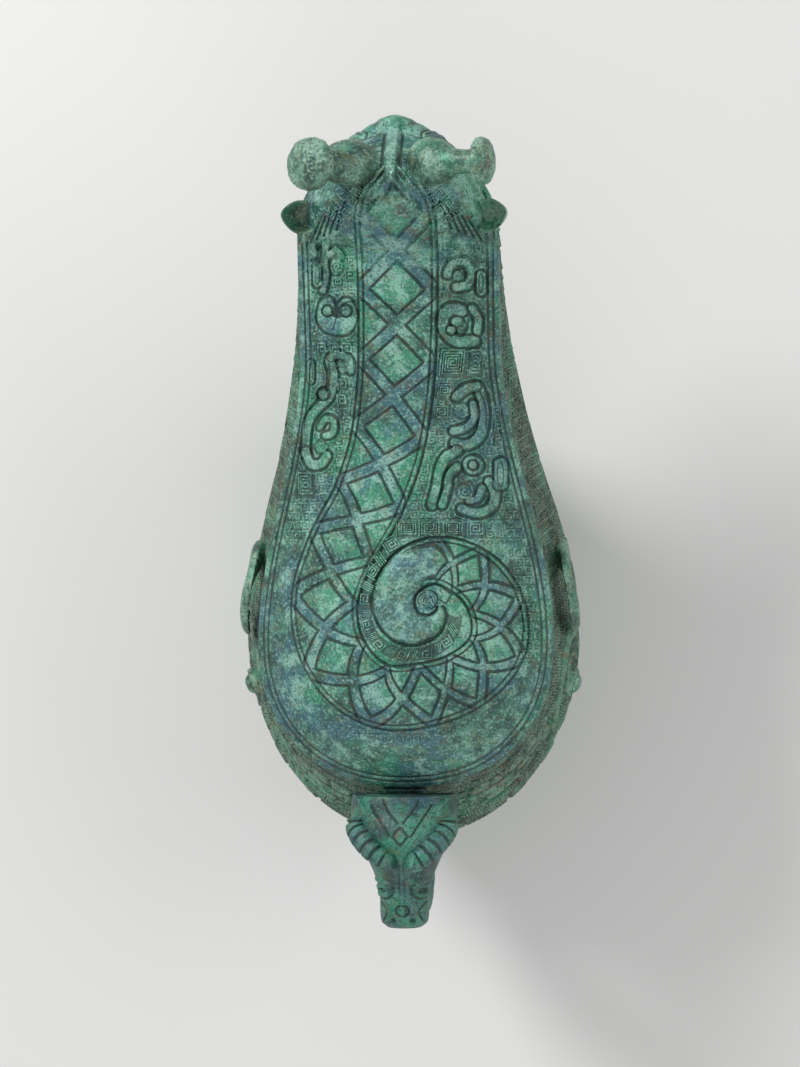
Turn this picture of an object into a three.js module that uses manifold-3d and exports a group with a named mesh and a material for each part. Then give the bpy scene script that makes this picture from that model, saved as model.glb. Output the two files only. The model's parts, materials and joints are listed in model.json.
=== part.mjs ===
// Animal-shaped ritual wine vessel in cast bronze: a bulging oval belly on a ring foot, a raised
// spout, a looped handle with an ox head, and a lift-off lid whose front is a bottle-horned dragon.
// Millimetres, +Z up, +Y towards the dragon's muzzle, origin under the middle of the whole vessel.
import * as THREE from "three";
import { mergeVertices } from "three/addons/utils/BufferGeometryUtils.js";
import Module from "manifold-3d";

const wasm = await Module();
wasm.setup();

// Walls and clearances
const VESSEL_WALL = 3.6;
const LID_WALL = 3.2;
const SEAT_GAP = 0.3; // between pieces that touch
const MOUTH_CLEARANCE = 1.0; // locating rim to the inside of the mouth
const HANDLE_CLEARANCE = 3.0; // rear edge of the lid to the handle's head

// Foot ring: an oval about the foot's own centre
const FOOT_HEIGHT = 24;
const FOOT_HALF_WIDTH = 44;
const FOOT_HALF_LENGTH = 65;
const FOOT_CENTRE_Y = -38;
const FOOT_FLARE = 4;
const FOOT_WALL = 4.5;
const FOOT_SOLE_HEIGHT = 5;
const FOOT_STEP = 2; // from the sole's edge in to the foot's side

// Belly: the widest oval
const WIDEST_Y = -43;
const BELLY_HEIGHT = 78;
const BELLY_HALF_WIDTH = 67.5;
const BELLY_FRONT_Y = 60;
const BELLY_REAR_Y = -125;

// Mouth and spout
const MOUTH_HEIGHT = 128;
const SPOUT_RISE = 38;
const MOUTH_HALF_WIDTH = 58;
const MOUTH_REAR_Y = -101;
const SPOUT_HALF_WIDTH = 38.5;
const SPOUT_START_Y = 72; // the mouth has narrowed to the spout here
const SPOUT_ROUND_Y = 112; // the spout's lip rounds off from here
const SPOUT_TIP_Y = 146;
const LIFT_START_Y = -20; // the mouth line starts to climb here
const LIFT_END_Y = 125;
const MOUTH_POWER = 2.2; // squareness of the mouth's round ends
const THROAT_POWER = 1.7; // how long the spout's underside hangs back before it reaches out
const THROAT_SHARE = 0.1; // share of the way round up to which the throat's own sweep holds
const FLANK_SHARE = 0.42; // share of the way round from which the flank's sweep holds

// Lid
const LID_LIP = 5; // upright edge
const DOME_CROWN = 31; // vault above the edge at the rear
const NECK_CROWN = 21; // vault above the edge at the neck
const VAULT_POWER = 2.2; // fullness of the vault
const FLANGE_DEPTH = 7;
const FLANGE_WALL = 2.6;
const FLANGE_FRONT_Y = 96;

// Dragon's body: a band down the neck that coils once on the dome and ends in a plain, fat tail
// which curls in to a point
const BAND_HALF_WIDTH = 14.5; // on the neck
const BAND_RELIEF = 1.0;
const DIAMOND_RELIEF = 0.6; // a diamond's middle over the band's crossings
const COIL_CENTRE_X = 10;
const COIL_CENTRE_Y = -29;
const COIL_RADIUS = 40; // to the band's middle line where the coil starts
const TAIL_RELIEF = 2.8;

// Dragon's head
const MUZZLE_OVERHANG = 10.5; // muzzle past the spout's tip
const HEAD_LENGTH = 58.5;
const HEAD_HALF_WIDTH = 34;
const HEAD_HEIGHT = 38; // above the lid's edge
const HEAD_WALL = 4.5;
const HORN_SPACING = 19; // between the roots of the bottle horns
const HORN_BACK = 21; // from the muzzle's tip back to the roots
const HORN_STEM_RADIUS = 7.2;
const HORN_NECK_RADIUS = 5.3;
const HORN_CAP_RADIUS = 10;
const HORN_CAP_THICKNESS = 8;
const HORN_LENGTHS = { left: 32, right: 30 };
const HORN_LEANS = { left: 44, right: 52 }; // degrees from upright, as the two are bent today
const HEAD_POWER = 2.3; // squareness of the head's section
const EAR_LENGTH = 21;
const EAR_HALF_WIDTH = 6.8;
const EAR_THICKNESS = 2.6;
const EAR_STAND = new THREE.Vector3(0.66, -0.05, 0.75); // way the right ear points
const EYE_RADIUS = 5;
const EYE_LIFT = 27; // degrees up round the head's section

// Big mask on the rear half of the belly
const MASK_EYE_Y = -62;
const MASK_EYE_HEIGHT = 84;
const MASK_EYE_RADIUS = 6.5;
const MASK_HORN_Y = -22;
const MASK_HORN_HEIGHT = 104;
const MASK_HORN_LENGTH = 30;
const MASK_HORN_RADIUS = 5.2;
const MASK_HORN_REACH = 7; // clear of the wall

// Flange under the spout
const SPOUT_FLANGE_THICKNESS = 4.2;
const SPOUT_FLANGE_DEPTH = 6.5;
const SPOUT_FLANGE_TEETH = 6;
const SPOUT_FLANGE_NOTCH = 0.55; // depth left at a notch

// Handle
const FINGER_GAP = 19; // belly to the inside of the loop
const LOOP_THICKNESS = 11;
const LOOP_WIDTH = 18;
const LOOP_TOP_DROP = 10; // loop's upper arm below the mouth
const LOOP_FOOT_RISE = 28; // loop's lower arm above the foot ring
const LOOP_LOWER_ARM = 36; // from the loop's back in to the end of its lower arm
const OX_HEAD_HALF_WIDTH = 21;
const OX_HEAD_HEIGHT = 30;
const OX_SNOUT_OVERHANG = 1.5;
const OX_HORN_RADIUS = 6;
const SPUR_LENGTH = 24;
const SPUR_RADIUS = 5;

// Fineness of the surfaces
const HALF_STEPS = 26; // round half of the plan
const BELLY_STEPS = 5; // foot to belly
const NECK_STEPS = 6; // belly to mouth
const HORN_SEGMENTS = 20;
const OUTLINE_STEPS = 240;
const MERGE_DISTANCE = 1e-3;

const { clamp, degToRad, lerp, smoothstep } = THREE.MathUtils;

const muzzleY = SPOUT_TIP_Y + MUZZLE_OVERHANG;
const headRootY = muzzleY - HEAD_LENGTH;
const napeY = headRootY - SEAT_GAP;
const loopOuterY = BELLY_REAR_Y - FINGER_GAP - LOOP_THICKNESS;
const snoutY = loopOuterY - OX_SNOUT_OVERHANG;

// Solids

// A closed geometry from positions and triangles, with shared vertices merged and slivers dropped.
function closedGeometry(points, triangles) {
  const raw = new THREE.BufferGeometry();
  raw.setAttribute("position", new THREE.Float32BufferAttribute(points.flatMap((p) => p.toArray()), 3));
  raw.setIndex(triangles.flat());
  return cleaned(raw);
}

function cleaned(geometry) {
  const bare = geometry.clone();
  bare.deleteAttribute("normal");
  bare.deleteAttribute("uv");
  const merged = mergeVertices(bare, MERGE_DISTANCE);
  const index = merged.index.array;
  const inwards = signedVolume(merged) < 0;
  const kept = [];
  for (let i = 0; i < index.length; i += 3) {
    const [a, b, c] = [index[i], index[i + 1], index[i + 2]];
    if (a !== b && b !== c && a !== c) kept.push(a, inwards ? c : b, inwards ? b : c);
  }
  merged.setIndex(kept);
  return merged;
}

// Six times the volume inside a closed geometry, negative where its faces point inwards.
function signedVolume(geometry) {
  const { array } = geometry.attributes.position;
  const corner = (i) => new THREE.Vector3().fromArray(array, 3 * geometry.index.array[i]);
  let sum = 0;
  for (let i = 0; i < geometry.index.count; i += 3) {
    sum += corner(i).dot(corner(i + 1).cross(corner(i + 2)));
  }
  return sum;
}

// A manifold solid of a closed geometry.
function solidOf(geometry) {
  const merged = cleaned(geometry);
  const vertProperties = merged.attributes.position.array;
  const triVerts = new Uint32Array(merged.index.array);
  return new wasm.Manifold(new wasm.Mesh({ numProp: 3, vertProperties, triVerts }));
}

// The largest body of a solid as a geometry: a cut can leave crumbs that the casting hasn't.
function geometryOf(solid) {
  const bodies = solid.decompose().sort((a, b) => b.volume() - a.volume());
  const mesh = bodies[0].getMesh();
  const geometry = new THREE.BufferGeometry();
  geometry.setAttribute("position", new THREE.Float32BufferAttribute(mesh.vertProperties, 3));
  geometry.setIndex([...mesh.triVerts]);
  return geometry;
}

// A closed skin over rings of equal count, with each end closed by a fan.
function loft(rings) {
  const count = rings[0].length;
  const points = rings.flat();
  const triangles = [];
  for (let r = 0; r + 1 < rings.length; r++) {
    for (let i = 0; i < count; i++) {
      const j = (i + 1) % count;
      const [a, b] = [r * count + i, r * count + j];
      const [c, d] = [a + count, b + count];
      triangles.push([a, b, d], [a, d, c]);
    }
  }
  const ends = [
    [rings[0], 0, true],
    [rings.at(-1), points.length - count, false],
  ];
  for (const [ring, start, flip] of ends) {
    const middle = points.length;
    points.push(ring.reduce((sum, p) => sum.add(p), new THREE.Vector3()).divideScalar(count));
    for (let i = 0; i < count; i++) {
      const [a, b] = [start + i, start + ((i + 1) % count)];
      triangles.push(flip ? [middle, b, a] : [middle, a, b]);
    }
  }
  return closedGeometry(points, triangles);
}

// A skin over rings that closes on its first ring, as a hoop or a hollow wall does.
function hoop(rings) {
  const count = rings[0].length;
  const triangles = [];
  for (let r = 0; r < rings.length; r++) {
    const next = (r + 1) % rings.length;
    for (let i = 0; i < count; i++) {
      const j = (i + 1) % count;
      const [a, b] = [r * count + i, r * count + j];
      const [c, d] = [next * count + i, next * count + j];
      triangles.push([a, b, d], [a, d, c]);
    }
  }
  return closedGeometry(rings.flat(), triangles);
}

// A round bar along a curve, whose radius follows its length.
function taperedBar(curve, radiusAt, steps, sides) {
  const frames = curve.computeFrenetFrames(steps, false);
  const rings = [];
  for (let s = 0; s <= steps; s++) {
    const centre = curve.getPointAt(s / steps);
    const radius = radiusAt(s / steps);
    const ring = [];
    for (let k = 0; k < sides; k++) {
      const angle = (2 * Math.PI * k) / sides;
      const across = frames.normals[s].clone().multiplyScalar(radius * Math.cos(angle));
      const along = frames.binormals[s].clone().multiplyScalar(radius * Math.sin(angle));
      ring.push(centre.clone().add(across).add(along));
    }
    rings.push(ring);
  }
  return loft(rings);
}

// Plan outlines

// Half-width of an egg-shaped oval at y: one superellipse in front of its widest line, one behind.
function eggHalfWidth(y, halfWidth, widestY, frontY, rearY, power = 2) {
  const reach = y > widestY ? frontY - widestY : widestY - rearY;
  const share = clamp(Math.abs(y - widestY) / reach, 0, 1);
  return halfWidth * Math.pow(1 - Math.pow(share, power), 1 / power);
}

function mouthHalfWidth(y) {
  if (y < WIDEST_Y) {
    return eggHalfWidth(y, MOUTH_HALF_WIDTH, WIDEST_Y, SPOUT_TIP_Y, MOUTH_REAR_Y, MOUTH_POWER);
  }
  const narrowing = smoothstep(y, WIDEST_Y, SPOUT_START_Y);
  const straight = lerp(MOUTH_HALF_WIDTH, SPOUT_HALF_WIDTH, narrowing);
  return y < SPOUT_ROUND_Y
    ? straight
    : eggHalfWidth(y, straight, SPOUT_ROUND_Y, SPOUT_TIP_Y, WIDEST_Y, MOUTH_POWER);
}

function mouthHeight(y) {
  return MOUTH_HEIGHT + SPOUT_RISE * smoothstep(y, LIFT_START_Y, LIFT_END_Y);
}

// Right half of an outline from its front tip to its rear tip, as a curve of even speed.
function halfOutline(halfWidthAt, frontY, rearY) {
  const points = [];
  for (let i = 0; i <= OUTLINE_STEPS; i++) {
    const turn = Math.cos((Math.PI * i) / OUTLINE_STEPS);
    const y = (frontY + rearY) / 2 + ((frontY - rearY) / 2) * turn;
    points.push(new THREE.Vector2(i % OUTLINE_STEPS ? halfWidthAt(y) : 0, y));
  }
  const curve = new THREE.SplineCurve(points);
  curve.arcLengthDivisions = 2 * OUTLINE_STEPS;
  return curve;
}

const footTipY = FOOT_CENTRE_Y + FOOT_HALF_LENGTH;
const footHeelY = FOOT_CENTRE_Y - FOOT_HALF_LENGTH;
const footOutline = halfOutline(
  (y) => eggHalfWidth(y, FOOT_HALF_WIDTH, FOOT_CENTRE_Y, footTipY, footHeelY),
  footTipY,
  footHeelY,
);
const bellyOutline = halfOutline(
  (y) => eggHalfWidth(y, BELLY_HALF_WIDTH, WIDEST_Y, BELLY_FRONT_Y, BELLY_REAR_Y),
  BELLY_FRONT_Y,
  BELLY_REAR_Y,
);
const mouthOutline = halfOutline(mouthHalfWidth, SPOUT_TIP_Y, MOUTH_REAR_Y);

// Vessel surface

// A point of the vessel's outside: share 0 is the front and 1 the rear, level 0 to 1 runs from the
// foot round the belly, and level 1 to 2 from the belly up to the mouth.
function vesselPoint(share, level) {
  const at = clamp(share, 0, 1);
  const belly = bellyOutline.getPointAt(at);
  if (level <= 1) {
    const foot = footOutline.getPointAt(at);
    const turn = (Math.PI / 2) * level;
    const plan = foot.lerp(belly, Math.sin(turn));
    return new THREE.Vector3(plan.x, plan.y, lerp(BELLY_HEIGHT, FOOT_HEIGHT, Math.cos(turn)));
  }
  const mouth = mouthOutline.getPointAt(at);
  const rise = level - 1;
  const upright = rise * rise * (3 - 2 * rise);
  const throat = Math.pow(rise, THROAT_POWER);
  const sweep = lerp(throat, upright, smoothstep(at, THROAT_SHARE, FLANK_SHARE));
  const plan = belly.lerp(mouth, sweep);
  const top = mouthHeight(mouth.y);
  return new THREE.Vector3(plan.x, plan.y, lerp(BELLY_HEIGHT, top, rise));
}

// Outward normal of the vessel there, from its slopes both ways.
function vesselNormal(share, level) {
  const step = 2e-3;
  const inLevel = level > 1 - step && level < 1 + step ? 1 + step : level;
  const low = clamp(inLevel - step, 0, 2 - step);
  const up = vesselPoint(share, low + step).sub(vesselPoint(share, low));
  const back = vesselPoint(share + step, level).sub(vesselPoint(share - step, level));
  if (share < step || share > 1 - step) back.set(share < step ? 1 : -1, 0, 0);
  return up.cross(back).normalize();
}

// A point off the vessel's outside: along the normal below the belly, level with it above.
function vesselOffset(share, level, out) {
  const point = vesselPoint(share, level);
  const normal = vesselNormal(share, level);
  if (level <= 1) return point.addScaledVector(normal, out);
  const leastSlope = 0.6;
  const flat = Math.hypot(normal.x, normal.y);
  const reach = out / Math.max(flat, leastSlope);
  point.x += (normal.x / flat) * reach;
  point.y += (normal.y / flat) * reach;
  return point;
}

// Both halves of a ring from a function of the share along the right half.
function fullRing(pointAt) {
  const ring = [];
  for (let i = 0; i < 2 * HALF_STEPS; i++) {
    const mirrored = i > HALF_STEPS;
    const point = pointAt((mirrored ? 2 * HALF_STEPS - i : i) / HALF_STEPS);
    if (i % HALF_STEPS === 0) point.x = 0;
    if (mirrored) point.x = -point.x;
    ring.push(point);
  }
  return ring;
}

function vesselLevels() {
  const levels = [];
  for (let i = 0; i <= BELLY_STEPS; i++) levels.push(i / BELLY_STEPS);
  for (let i = 1; i <= NECK_STEPS; i++) levels.push(1 + i / NECK_STEPS);
  return levels;
}

// The vessel filled to its mouth, grown by the given amount: what its appendages are cut with.
function vesselFilled(grow) {
  const rings = vesselLevels().map((level) => fullRing((share) => vesselOffset(share, level, grow)));
  return solidOf(loft(rings));
}

function vesselWall() {
  const skin = (out) => vesselLevels().map((level) => fullRing((share) => vesselOffset(share, level, out)));
  return loft([...skin(0), ...skin(-VESSEL_WALL).reverse()]);
}

const vesselCutter = vesselFilled(SEAT_GAP);

// The right flank's share and level at a given y and height, found by halving.
function flankAt(y, height) {
  let level = height < BELLY_HEIGHT ? 0.5 : 1.5;
  let share = 0.5;
  const passes = 6;
  for (let pass = 0; pass < passes; pass++) {
    share = halve(0, 1, (at) => vesselPoint(at, level).y < y);
    level = halve(0, 2, (at) => vesselPoint(share, at).z > height);
  }
  return { share, level };
}

// Where isPast turns true between low and high.
function halve(low, high, isPast) {
  const halvings = 24;
  for (let i = 0; i < halvings; i++) {
    const middle = (low + high) / 2;
    if (isPast(middle)) high = middle;
    else low = middle;
  }
  return (low + high) / 2;
}

// A point of the right flank at a given y and height, moved out from the wall.
function flankPoint(y, height, out) {
  const { share, level } = flankAt(y, height);
  return vesselPoint(share, level).addScaledVector(vesselNormal(share, level), out);
}

// Foot

function ovalRing(spread, z) {
  return fullRing((share) => {
    const point = footOutline.getPointAt(share);
    const normal = new THREE.Vector2(
      point.x / FOOT_HALF_WIDTH ** 2,
      (point.y - FOOT_CENTRE_Y) / FOOT_HALF_LENGTH ** 2,
    ).normalize();
    return new THREE.Vector3(point.x + normal.x * spread, point.y + normal.y * spread, z);
  });
}

function footRing() {
  const top = FOOT_HEIGHT - SEAT_GAP;
  return hoop([
    ovalRing(-FOOT_WALL, 0),
    ovalRing(FOOT_FLARE, 0),
    ovalRing(FOOT_FLARE, FOOT_SOLE_HEIGHT),
    ovalRing(FOOT_FLARE * 0.35, FOOT_SOLE_HEIGHT + FOOT_STEP),
    ovalRing(0, lerp(FOOT_SOLE_HEIGHT, top, 0.6)),
    ovalRing(0, top),
    ovalRing(-FOOT_WALL, top),
  ]);
}

// Lid surface

const spineRearY = WIDEST_Y;
const spineFrontY = SPOUT_ROUND_Y;

// 0 on the lid's middle line and 1 on its edge.
function lidShare(x, y) {
  if (y >= spineRearY && y <= spineFrontY) return Math.abs(x) / mouthHalfWidth(y);
  const behind = y < spineRearY;
  const halfWidth = behind ? MOUTH_HALF_WIDTH : SPOUT_HALF_WIDTH;
  const reach = behind ? spineRearY - MOUTH_REAR_Y : SPOUT_TIP_Y - spineFrontY;
  const past = behind ? spineRearY - y : y - spineFrontY;
  const sum = Math.pow(Math.abs(x) / halfWidth, MOUTH_POWER) + Math.pow(past / reach, MOUTH_POWER);
  return Math.pow(sum, 1 / MOUTH_POWER);
}

function lidEdgeHeight(y) {
  return mouthHeight(y) + SEAT_GAP;
}

function lidTopHeight(x, y) {
  const crown = lerp(NECK_CROWN, DOME_CROWN, smoothstep(-y, -SPOUT_START_Y, -LIFT_START_Y));
  const vault = 1 - Math.pow(Math.min(lidShare(x, y), 1), VAULT_POWER);
  return lidEdgeHeight(y) + LID_LIP + crown * vault;
}

function lidNormal(x, y) {
  const step = 0.2;
  const across = lidTopHeight(x + step, y) - lidTopHeight(x - step, y);
  const along = lidTopHeight(x, y + step) - lidTopHeight(x, y - step);
  return new THREE.Vector3(-across, -along, 2 * step).normalize();
}

// A ring of the lid at a share of the way from its middle line to its edge.
function lidRing(share, pointAt) {
  return fullRing((around) => {
    const edge = mouthOutline.getPointAt(around);
    const spineY = clamp(edge.y, spineRearY, spineFrontY);
    return pointAt(edge.x * share, lerp(spineY, edge.y, share));
  });
}

// A ring of the lid's upright edge, moved out level.
function lidEdgeRing(out, height) {
  return fullRing((around) => {
    const edge = mouthOutline.getPointAt(around);
    const tangent = mouthOutline.getTangentAt(around);
    const atTip = around === 0 || around === 1;
    const away = atTip ? new THREE.Vector2(0, around ? -1 : 1) : new THREE.Vector2(-tangent.y, tangent.x);
    const z = lidEdgeHeight(edge.y) + height;
    return new THREE.Vector3(edge.x + away.x * out, edge.y + away.y * out, z);
  });
}

const LID_SHARES = [0.94, 0.85, 0.74, 0.6, 0.45, 0.28, 0];

// The lid's shell, grown on both faces by the given amount.
function lidShell(grow = 0) {
  const skin = (depth) =>
    LID_SHARES.map((share) =>
      lidRing(share, (x, y) => {
        const point = new THREE.Vector3(x, y, lidTopHeight(x, y));
        if (share === 0) return point.setZ(point.z + depth);
        return point.addScaledVector(lidNormal(x, y), depth);
      }),
    );
  const outside = [lidEdgeRing(grow, -grow), lidEdgeRing(grow, LID_LIP), ...skin(grow)];
  const inset = -LID_WALL - grow;
  const inside = [lidEdgeRing(inset, -grow), lidEdgeRing(inset, LID_LIP * 0.4), ...skin(inset)];
  return solidOf(hoop([...outside, ...inside.reverse()]));
}

// Dragon's body in relief on the lid

// Middle line of the band down the neck: way from the nape to the coil, and place across as a share
// of the coil's radius.
const NECK_LINE = [
  [0, 0.02],
  [0.16, 0.01],
  [0.35, -0.03],
  [0.53, -0.13],
  [0.69, -0.32],
  [0.83, -0.58],
  [0.98, -0.75],
];
// Middles of the neck's diamonds, as ways from the nape to the coil's start.
const NECK_DIAMONDS = [0.057, 0.266, 0.471, 0.653, 0.811, 0.98];
// The band round the coil's centre, with a diamond at each row: degrees, radius as a share of the
// coil's, half-width as a share of the neck's.
const COIL_STATIONS = [
  [176, 1, 0.9],
  [209, 1.02, 0.88],
  [241, 0.99, 0.84],
  [269, 0.86, 0.82],
  [296, 0.81, 0.77],
  [328, 0.78, 0.72],
  [361, 0.65, 0.69],
  [401, 0.51, 0.66],
  [437, 0.44, 0.59],
];
// The plain tail that takes over where the band ends, in the same terms.
const TAIL_STATIONS = [
  [437, 0.43, 0.59],
  [480, 0.365, 0.54],
  [538, 0.32, 0.52],
  [586, 0.28, 0.45],
  [615, 0.23, 0.34],
  [660, 0.18, 0.2],
  [691, 0.15, 0.1],
  [716, 0.13, 0.04],
];

// A section of the band's way in plan: its middle, the direction across, its half-width and how far
// along the row of diamonds it is, in diamonds.
function wayPoint(x, y, across, halfWidth, diamond) {
  return { x, y, across: across.normalize(), halfWidth, diamond };
}

// Place in a rising list of marks: 0 at the first, 1 at the second and so on.
function placeAmong(marks, at) {
  let next = 1;
  while (next < marks.length - 1 && marks[next] <= at) next++;
  return next - 1 + (at - marks[next - 1]) / (marks[next] - marks[next - 1]);
}

function neckWay(steps) {
  const points = NECK_LINE.map(
    ([way, across]) => new THREE.Vector2(across * COIL_RADIUS, lerp(napeY, COIL_CENTRE_Y, way)),
  );
  const line = new THREE.SplineCurve(points);
  const way = [];
  for (let s = 0; s < steps; s++) {
    const { x, y } = line.getPointAt(s / steps);
    const tangent = line.getTangentAt(s / steps);
    const across = s ? new THREE.Vector2(tangent.y, -tangent.x) : new THREE.Vector2(-1, 0);
    const halfWidth = BAND_HALF_WIDTH * lerp(1, COIL_STATIONS[0][2], s / steps);
    const diamond = placeAmong(NECK_DIAMONDS, (napeY - y) / (napeY - COIL_CENTRE_Y));
    way.push(wayPoint(x, y, across, halfWidth, diamond));
  }
  return way;
}

function spiralWay(stations, steps) {
  const degrees = stations.map(([angle]) => angle);
  const [start, end] = [degrees[0], degrees.at(-1)];
  const way = [];
  for (let s = 0; s <= steps; s++) {
    const angle = lerp(start, end, s / steps);
    const { width, height } = stationAt(stations, angle);
    const out = new THREE.Vector2(Math.cos(degToRad(angle)), Math.sin(degToRad(angle)));
    const x = COIL_CENTRE_X + out.x * width * COIL_RADIUS;
    const y = COIL_CENTRE_Y + out.y * width * COIL_RADIUS;
    way.push(wayPoint(x, y, out, height * BAND_HALF_WIDTH, placeAmong(degrees, angle)));
  }
  return way;
}

// A strip laid on the lid along a way, sunk into the shell and standing proud of it; dome 0 has a
// flat top with diamonds and dome 1 a round, plain one.
function lidStrip(way, relief, dome) {
  const sunk = LID_WALL * 0.45;
  const shoulder = 1 - dome * 0.55;
  const haunch = 1 - dome * 0.15;
  const profile = [
    [-1, -sunk * 0.3],
    [-0.9, relief * shoulder],
    [-0.45, relief * haunch],
    [0, relief],
    [0.45, relief * haunch],
    [0.9, relief * shoulder],
    [1, -sunk * 0.3],
    [0.6, -sunk],
    [0, -sunk],
    [-0.6, -sunk],
  ];
  const rings = way.map((section) => {
    const swell = (1 - dome) * (DIAMOND_RELIEF / 2) * Math.cos(2 * Math.PI * section.diamond);
    return profile.map(([side, proud]) => {
      const x = section.x + section.across.x * side * section.halfWidth;
      const y = section.y + section.across.y * side * section.halfWidth;
      const onTop = proud > 0 ? swell * (1 - Math.abs(side) / 0.45) : 0;
      return new THREE.Vector3(x, y, lidTopHeight(x, y) + proud + onTop);
    });
  });
  return solidOf(loft(rings));
}

function dragonBody() {
  const neckSteps = 20;
  const coilSteps = 32;
  const tailSteps = 22;
  const band = lidStrip([...neckWay(neckSteps), ...spiralWay(COIL_STATIONS, coilSteps)], BAND_RELIEF, 0);
  const tail = lidStrip(spiralWay(TAIL_STATIONS, tailSteps), TAIL_RELIEF, 1);
  return band.add(tail);
}

// Locating rim under the lid, open at the spout.
function lidFlange() {
  const ring = (inset, z) => {
    const side = [];
    const start = halve(0, 1, (share) => vesselPoint(share, 2).y < FLANGE_FRONT_Y);
    for (let i = 0; i <= HALF_STEPS; i++) {
      const share = lerp(start, 1, i / HALF_STEPS);
      const mouth = vesselOffset(share, 2, -inset);
      const depth = 1 - FLANGE_DEPTH / (mouthHeight(mouth.y) - BELLY_HEIGHT);
      const lower = vesselOffset(share, 1 + depth, -inset);
      const x = Math.min(mouth.x, lower.x);
      side.push(new THREE.Vector3(x, mouth.y, z(x, mouth.y)));
    }
    const mirrored = side.slice(0, -1).reverse().map((p) => new THREE.Vector3(-p.x, p.y, p.z));
    side.at(-1).x = 0;
    return [...side, ...mirrored];
  };
  const outer = VESSEL_WALL + MOUTH_CLEARANCE;
  const foot = (x, y) => mouthHeight(y) - FLANGE_DEPTH;
  const head = (x, y) => lidTopHeight(x, y) - LID_WALL * 0.5;
  const inner = outer + FLANGE_WALL;
  const faces = [ring(outer, foot), ring(outer, head), ring(inner, head), ring(inner, foot)];
  const sections = faces[0].map((point, i) => faces.map((face) => face[i]));
  return geometryOf(solidOf(loft(sections)).subtract(lidShell(SEAT_GAP)));
}

// Dragon's head

// Stations from the nape to the muzzle: way along, half-width and height as shares of the head's.
const HEAD_STATIONS = [
  [0, 0.84, 0.44],
  [0.2, 0.97, 0.68],
  [0.36, 1, 0.88],
  [0.52, 0.97, 1],
  [0.66, 0.89, 0.96],
  [0.78, 0.77, 0.7],
  [0.87, 0.64, 0.52],
  [0.94, 0.5, 0.53],
  [0.98, 0.36, 0.47],
  [1, 0.22, 0.3],
];
const headSeatHeight = lidEdgeHeight(SPOUT_TIP_Y) + LID_LIP + SEAT_GAP;

// Half-width and height of an animal's head at a share of its length, smoothed between stations.
function stationAt(stations, at) {
  const points = stations.map(([along, width, height]) => new THREE.Vector3(along, width, height));
  const last = points.length - 1;
  let i = points.findIndex((point) => point.x > at);
  if (i < 0) i = last;
  const [before, from, to, after] = [i - 2, i - 1, i, i + 1].map((k) => points[clamp(k, 0, last)]);
  const share = clamp((at - from.x) / (to.x - from.x || 1), 0, 1);
  const ease = (a, b, c, d) => {
    const [leave, arrive] = [(c - a) / 2, (d - b) / 2];
    const [s2, s3] = [share ** 2, share ** 3];
    const starts = (2 * s3 - 3 * s2 + 1) * b + (s3 - 2 * s2 + share) * leave;
    return starts + (3 * s2 - 2 * s3) * c + (s3 - s2) * arrive;
  };
  return {
    width: ease(before.y, from.y, to.y, after.y),
    height: ease(before.z, from.z, to.z, after.z),
  };
}

// Shares across and up of a head's domed section at an angle from its right foot.
function archAt(angle) {
  const across = Math.sign(Math.cos(angle)) * Math.pow(Math.abs(Math.cos(angle)), 2 / HEAD_POWER);
  return { across, up: Math.pow(Math.sin(angle), 2 / HEAD_POWER) };
}

// The height of that section as a share, at a share of its half-width.
function archHeight(across) {
  return Math.pow(1 - Math.pow(Math.min(Math.abs(across), 1), HEAD_POWER), 1 / HEAD_POWER);
}

// A domed section over a flat underside.
function headRing(y, halfWidth, low, high) {
  const ring = [];
  const archSteps = 14;
  for (let k = 0; k <= archSteps; k++) {
    const { across, up } = archAt((Math.PI * k) / archSteps);
    ring.push(new THREE.Vector3(halfWidth * across, y, lerp(low, high, up)));
  }
  for (const across of [-0.5, 0, 0.5]) ring.push(new THREE.Vector3(halfWidth * across, y, low));
  return ring;
}

function dragonHeadLoft(grow) {
  const steps = 18;
  const rings = [];
  for (let s = 0; s <= steps; s++) {
    const at = s / steps;
    const { width, height } = stationAt(HEAD_STATIONS, at);
    const y = lerp(headRootY - grow, muzzleY + grow, at);
    const high = headSeatHeight + HEAD_HEIGHT * height + grow;
    rings.push(headRing(y, HEAD_HALF_WIDTH * width + grow, headSeatHeight - grow, high));
  }
  return solidOf(loft(rings));
}

// The hollow under the head, open through the lid.
function dragonHeadHollow() {
  const rings = [];
  const [from, to, steps] = [0.16, 0.72, 8];
  for (let s = 0; s <= steps; s++) {
    const at = lerp(from, to, s / steps);
    const { width, height } = stationAt(HEAD_STATIONS, at);
    const end = s === 0 || s === steps ? 0.8 : 1;
    const halfWidth = (HEAD_HALF_WIDTH * width - HEAD_WALL * 1.7) * end;
    const high = headSeatHeight + (HEAD_HEIGHT * height - HEAD_WALL) * end;
    rings.push(headRing(lerp(headRootY, muzzleY, at), halfWidth, lidEdgeHeight(headRootY), high));
  }
  return solidOf(loft(rings));
}

// Height of the head's skin at a share of its length and an offset from its middle.
function dragonHeadTop(at, x) {
  const { width, height } = stationAt(HEAD_STATIONS, at);
  return headSeatHeight + HEAD_HEIGHT * height * archHeight(x / (HEAD_HALF_WIDTH * width));
}

const lidSolid = lidShell();
const lidCutter = lidShell(SEAT_GAP).add(dragonBody());
const headCutter = dragonHeadLoft(SEAT_GAP);
const headHollow = dragonHeadHollow();

function lidShellWithRelief() {
  return geometryOf(lidSolid.add(dragonBody()).subtract(headHollow));
}

function dragonHead() {
  return geometryOf(dragonHeadLoft(0).subtract(headHollow).subtract(lidCutter));
}

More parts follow.
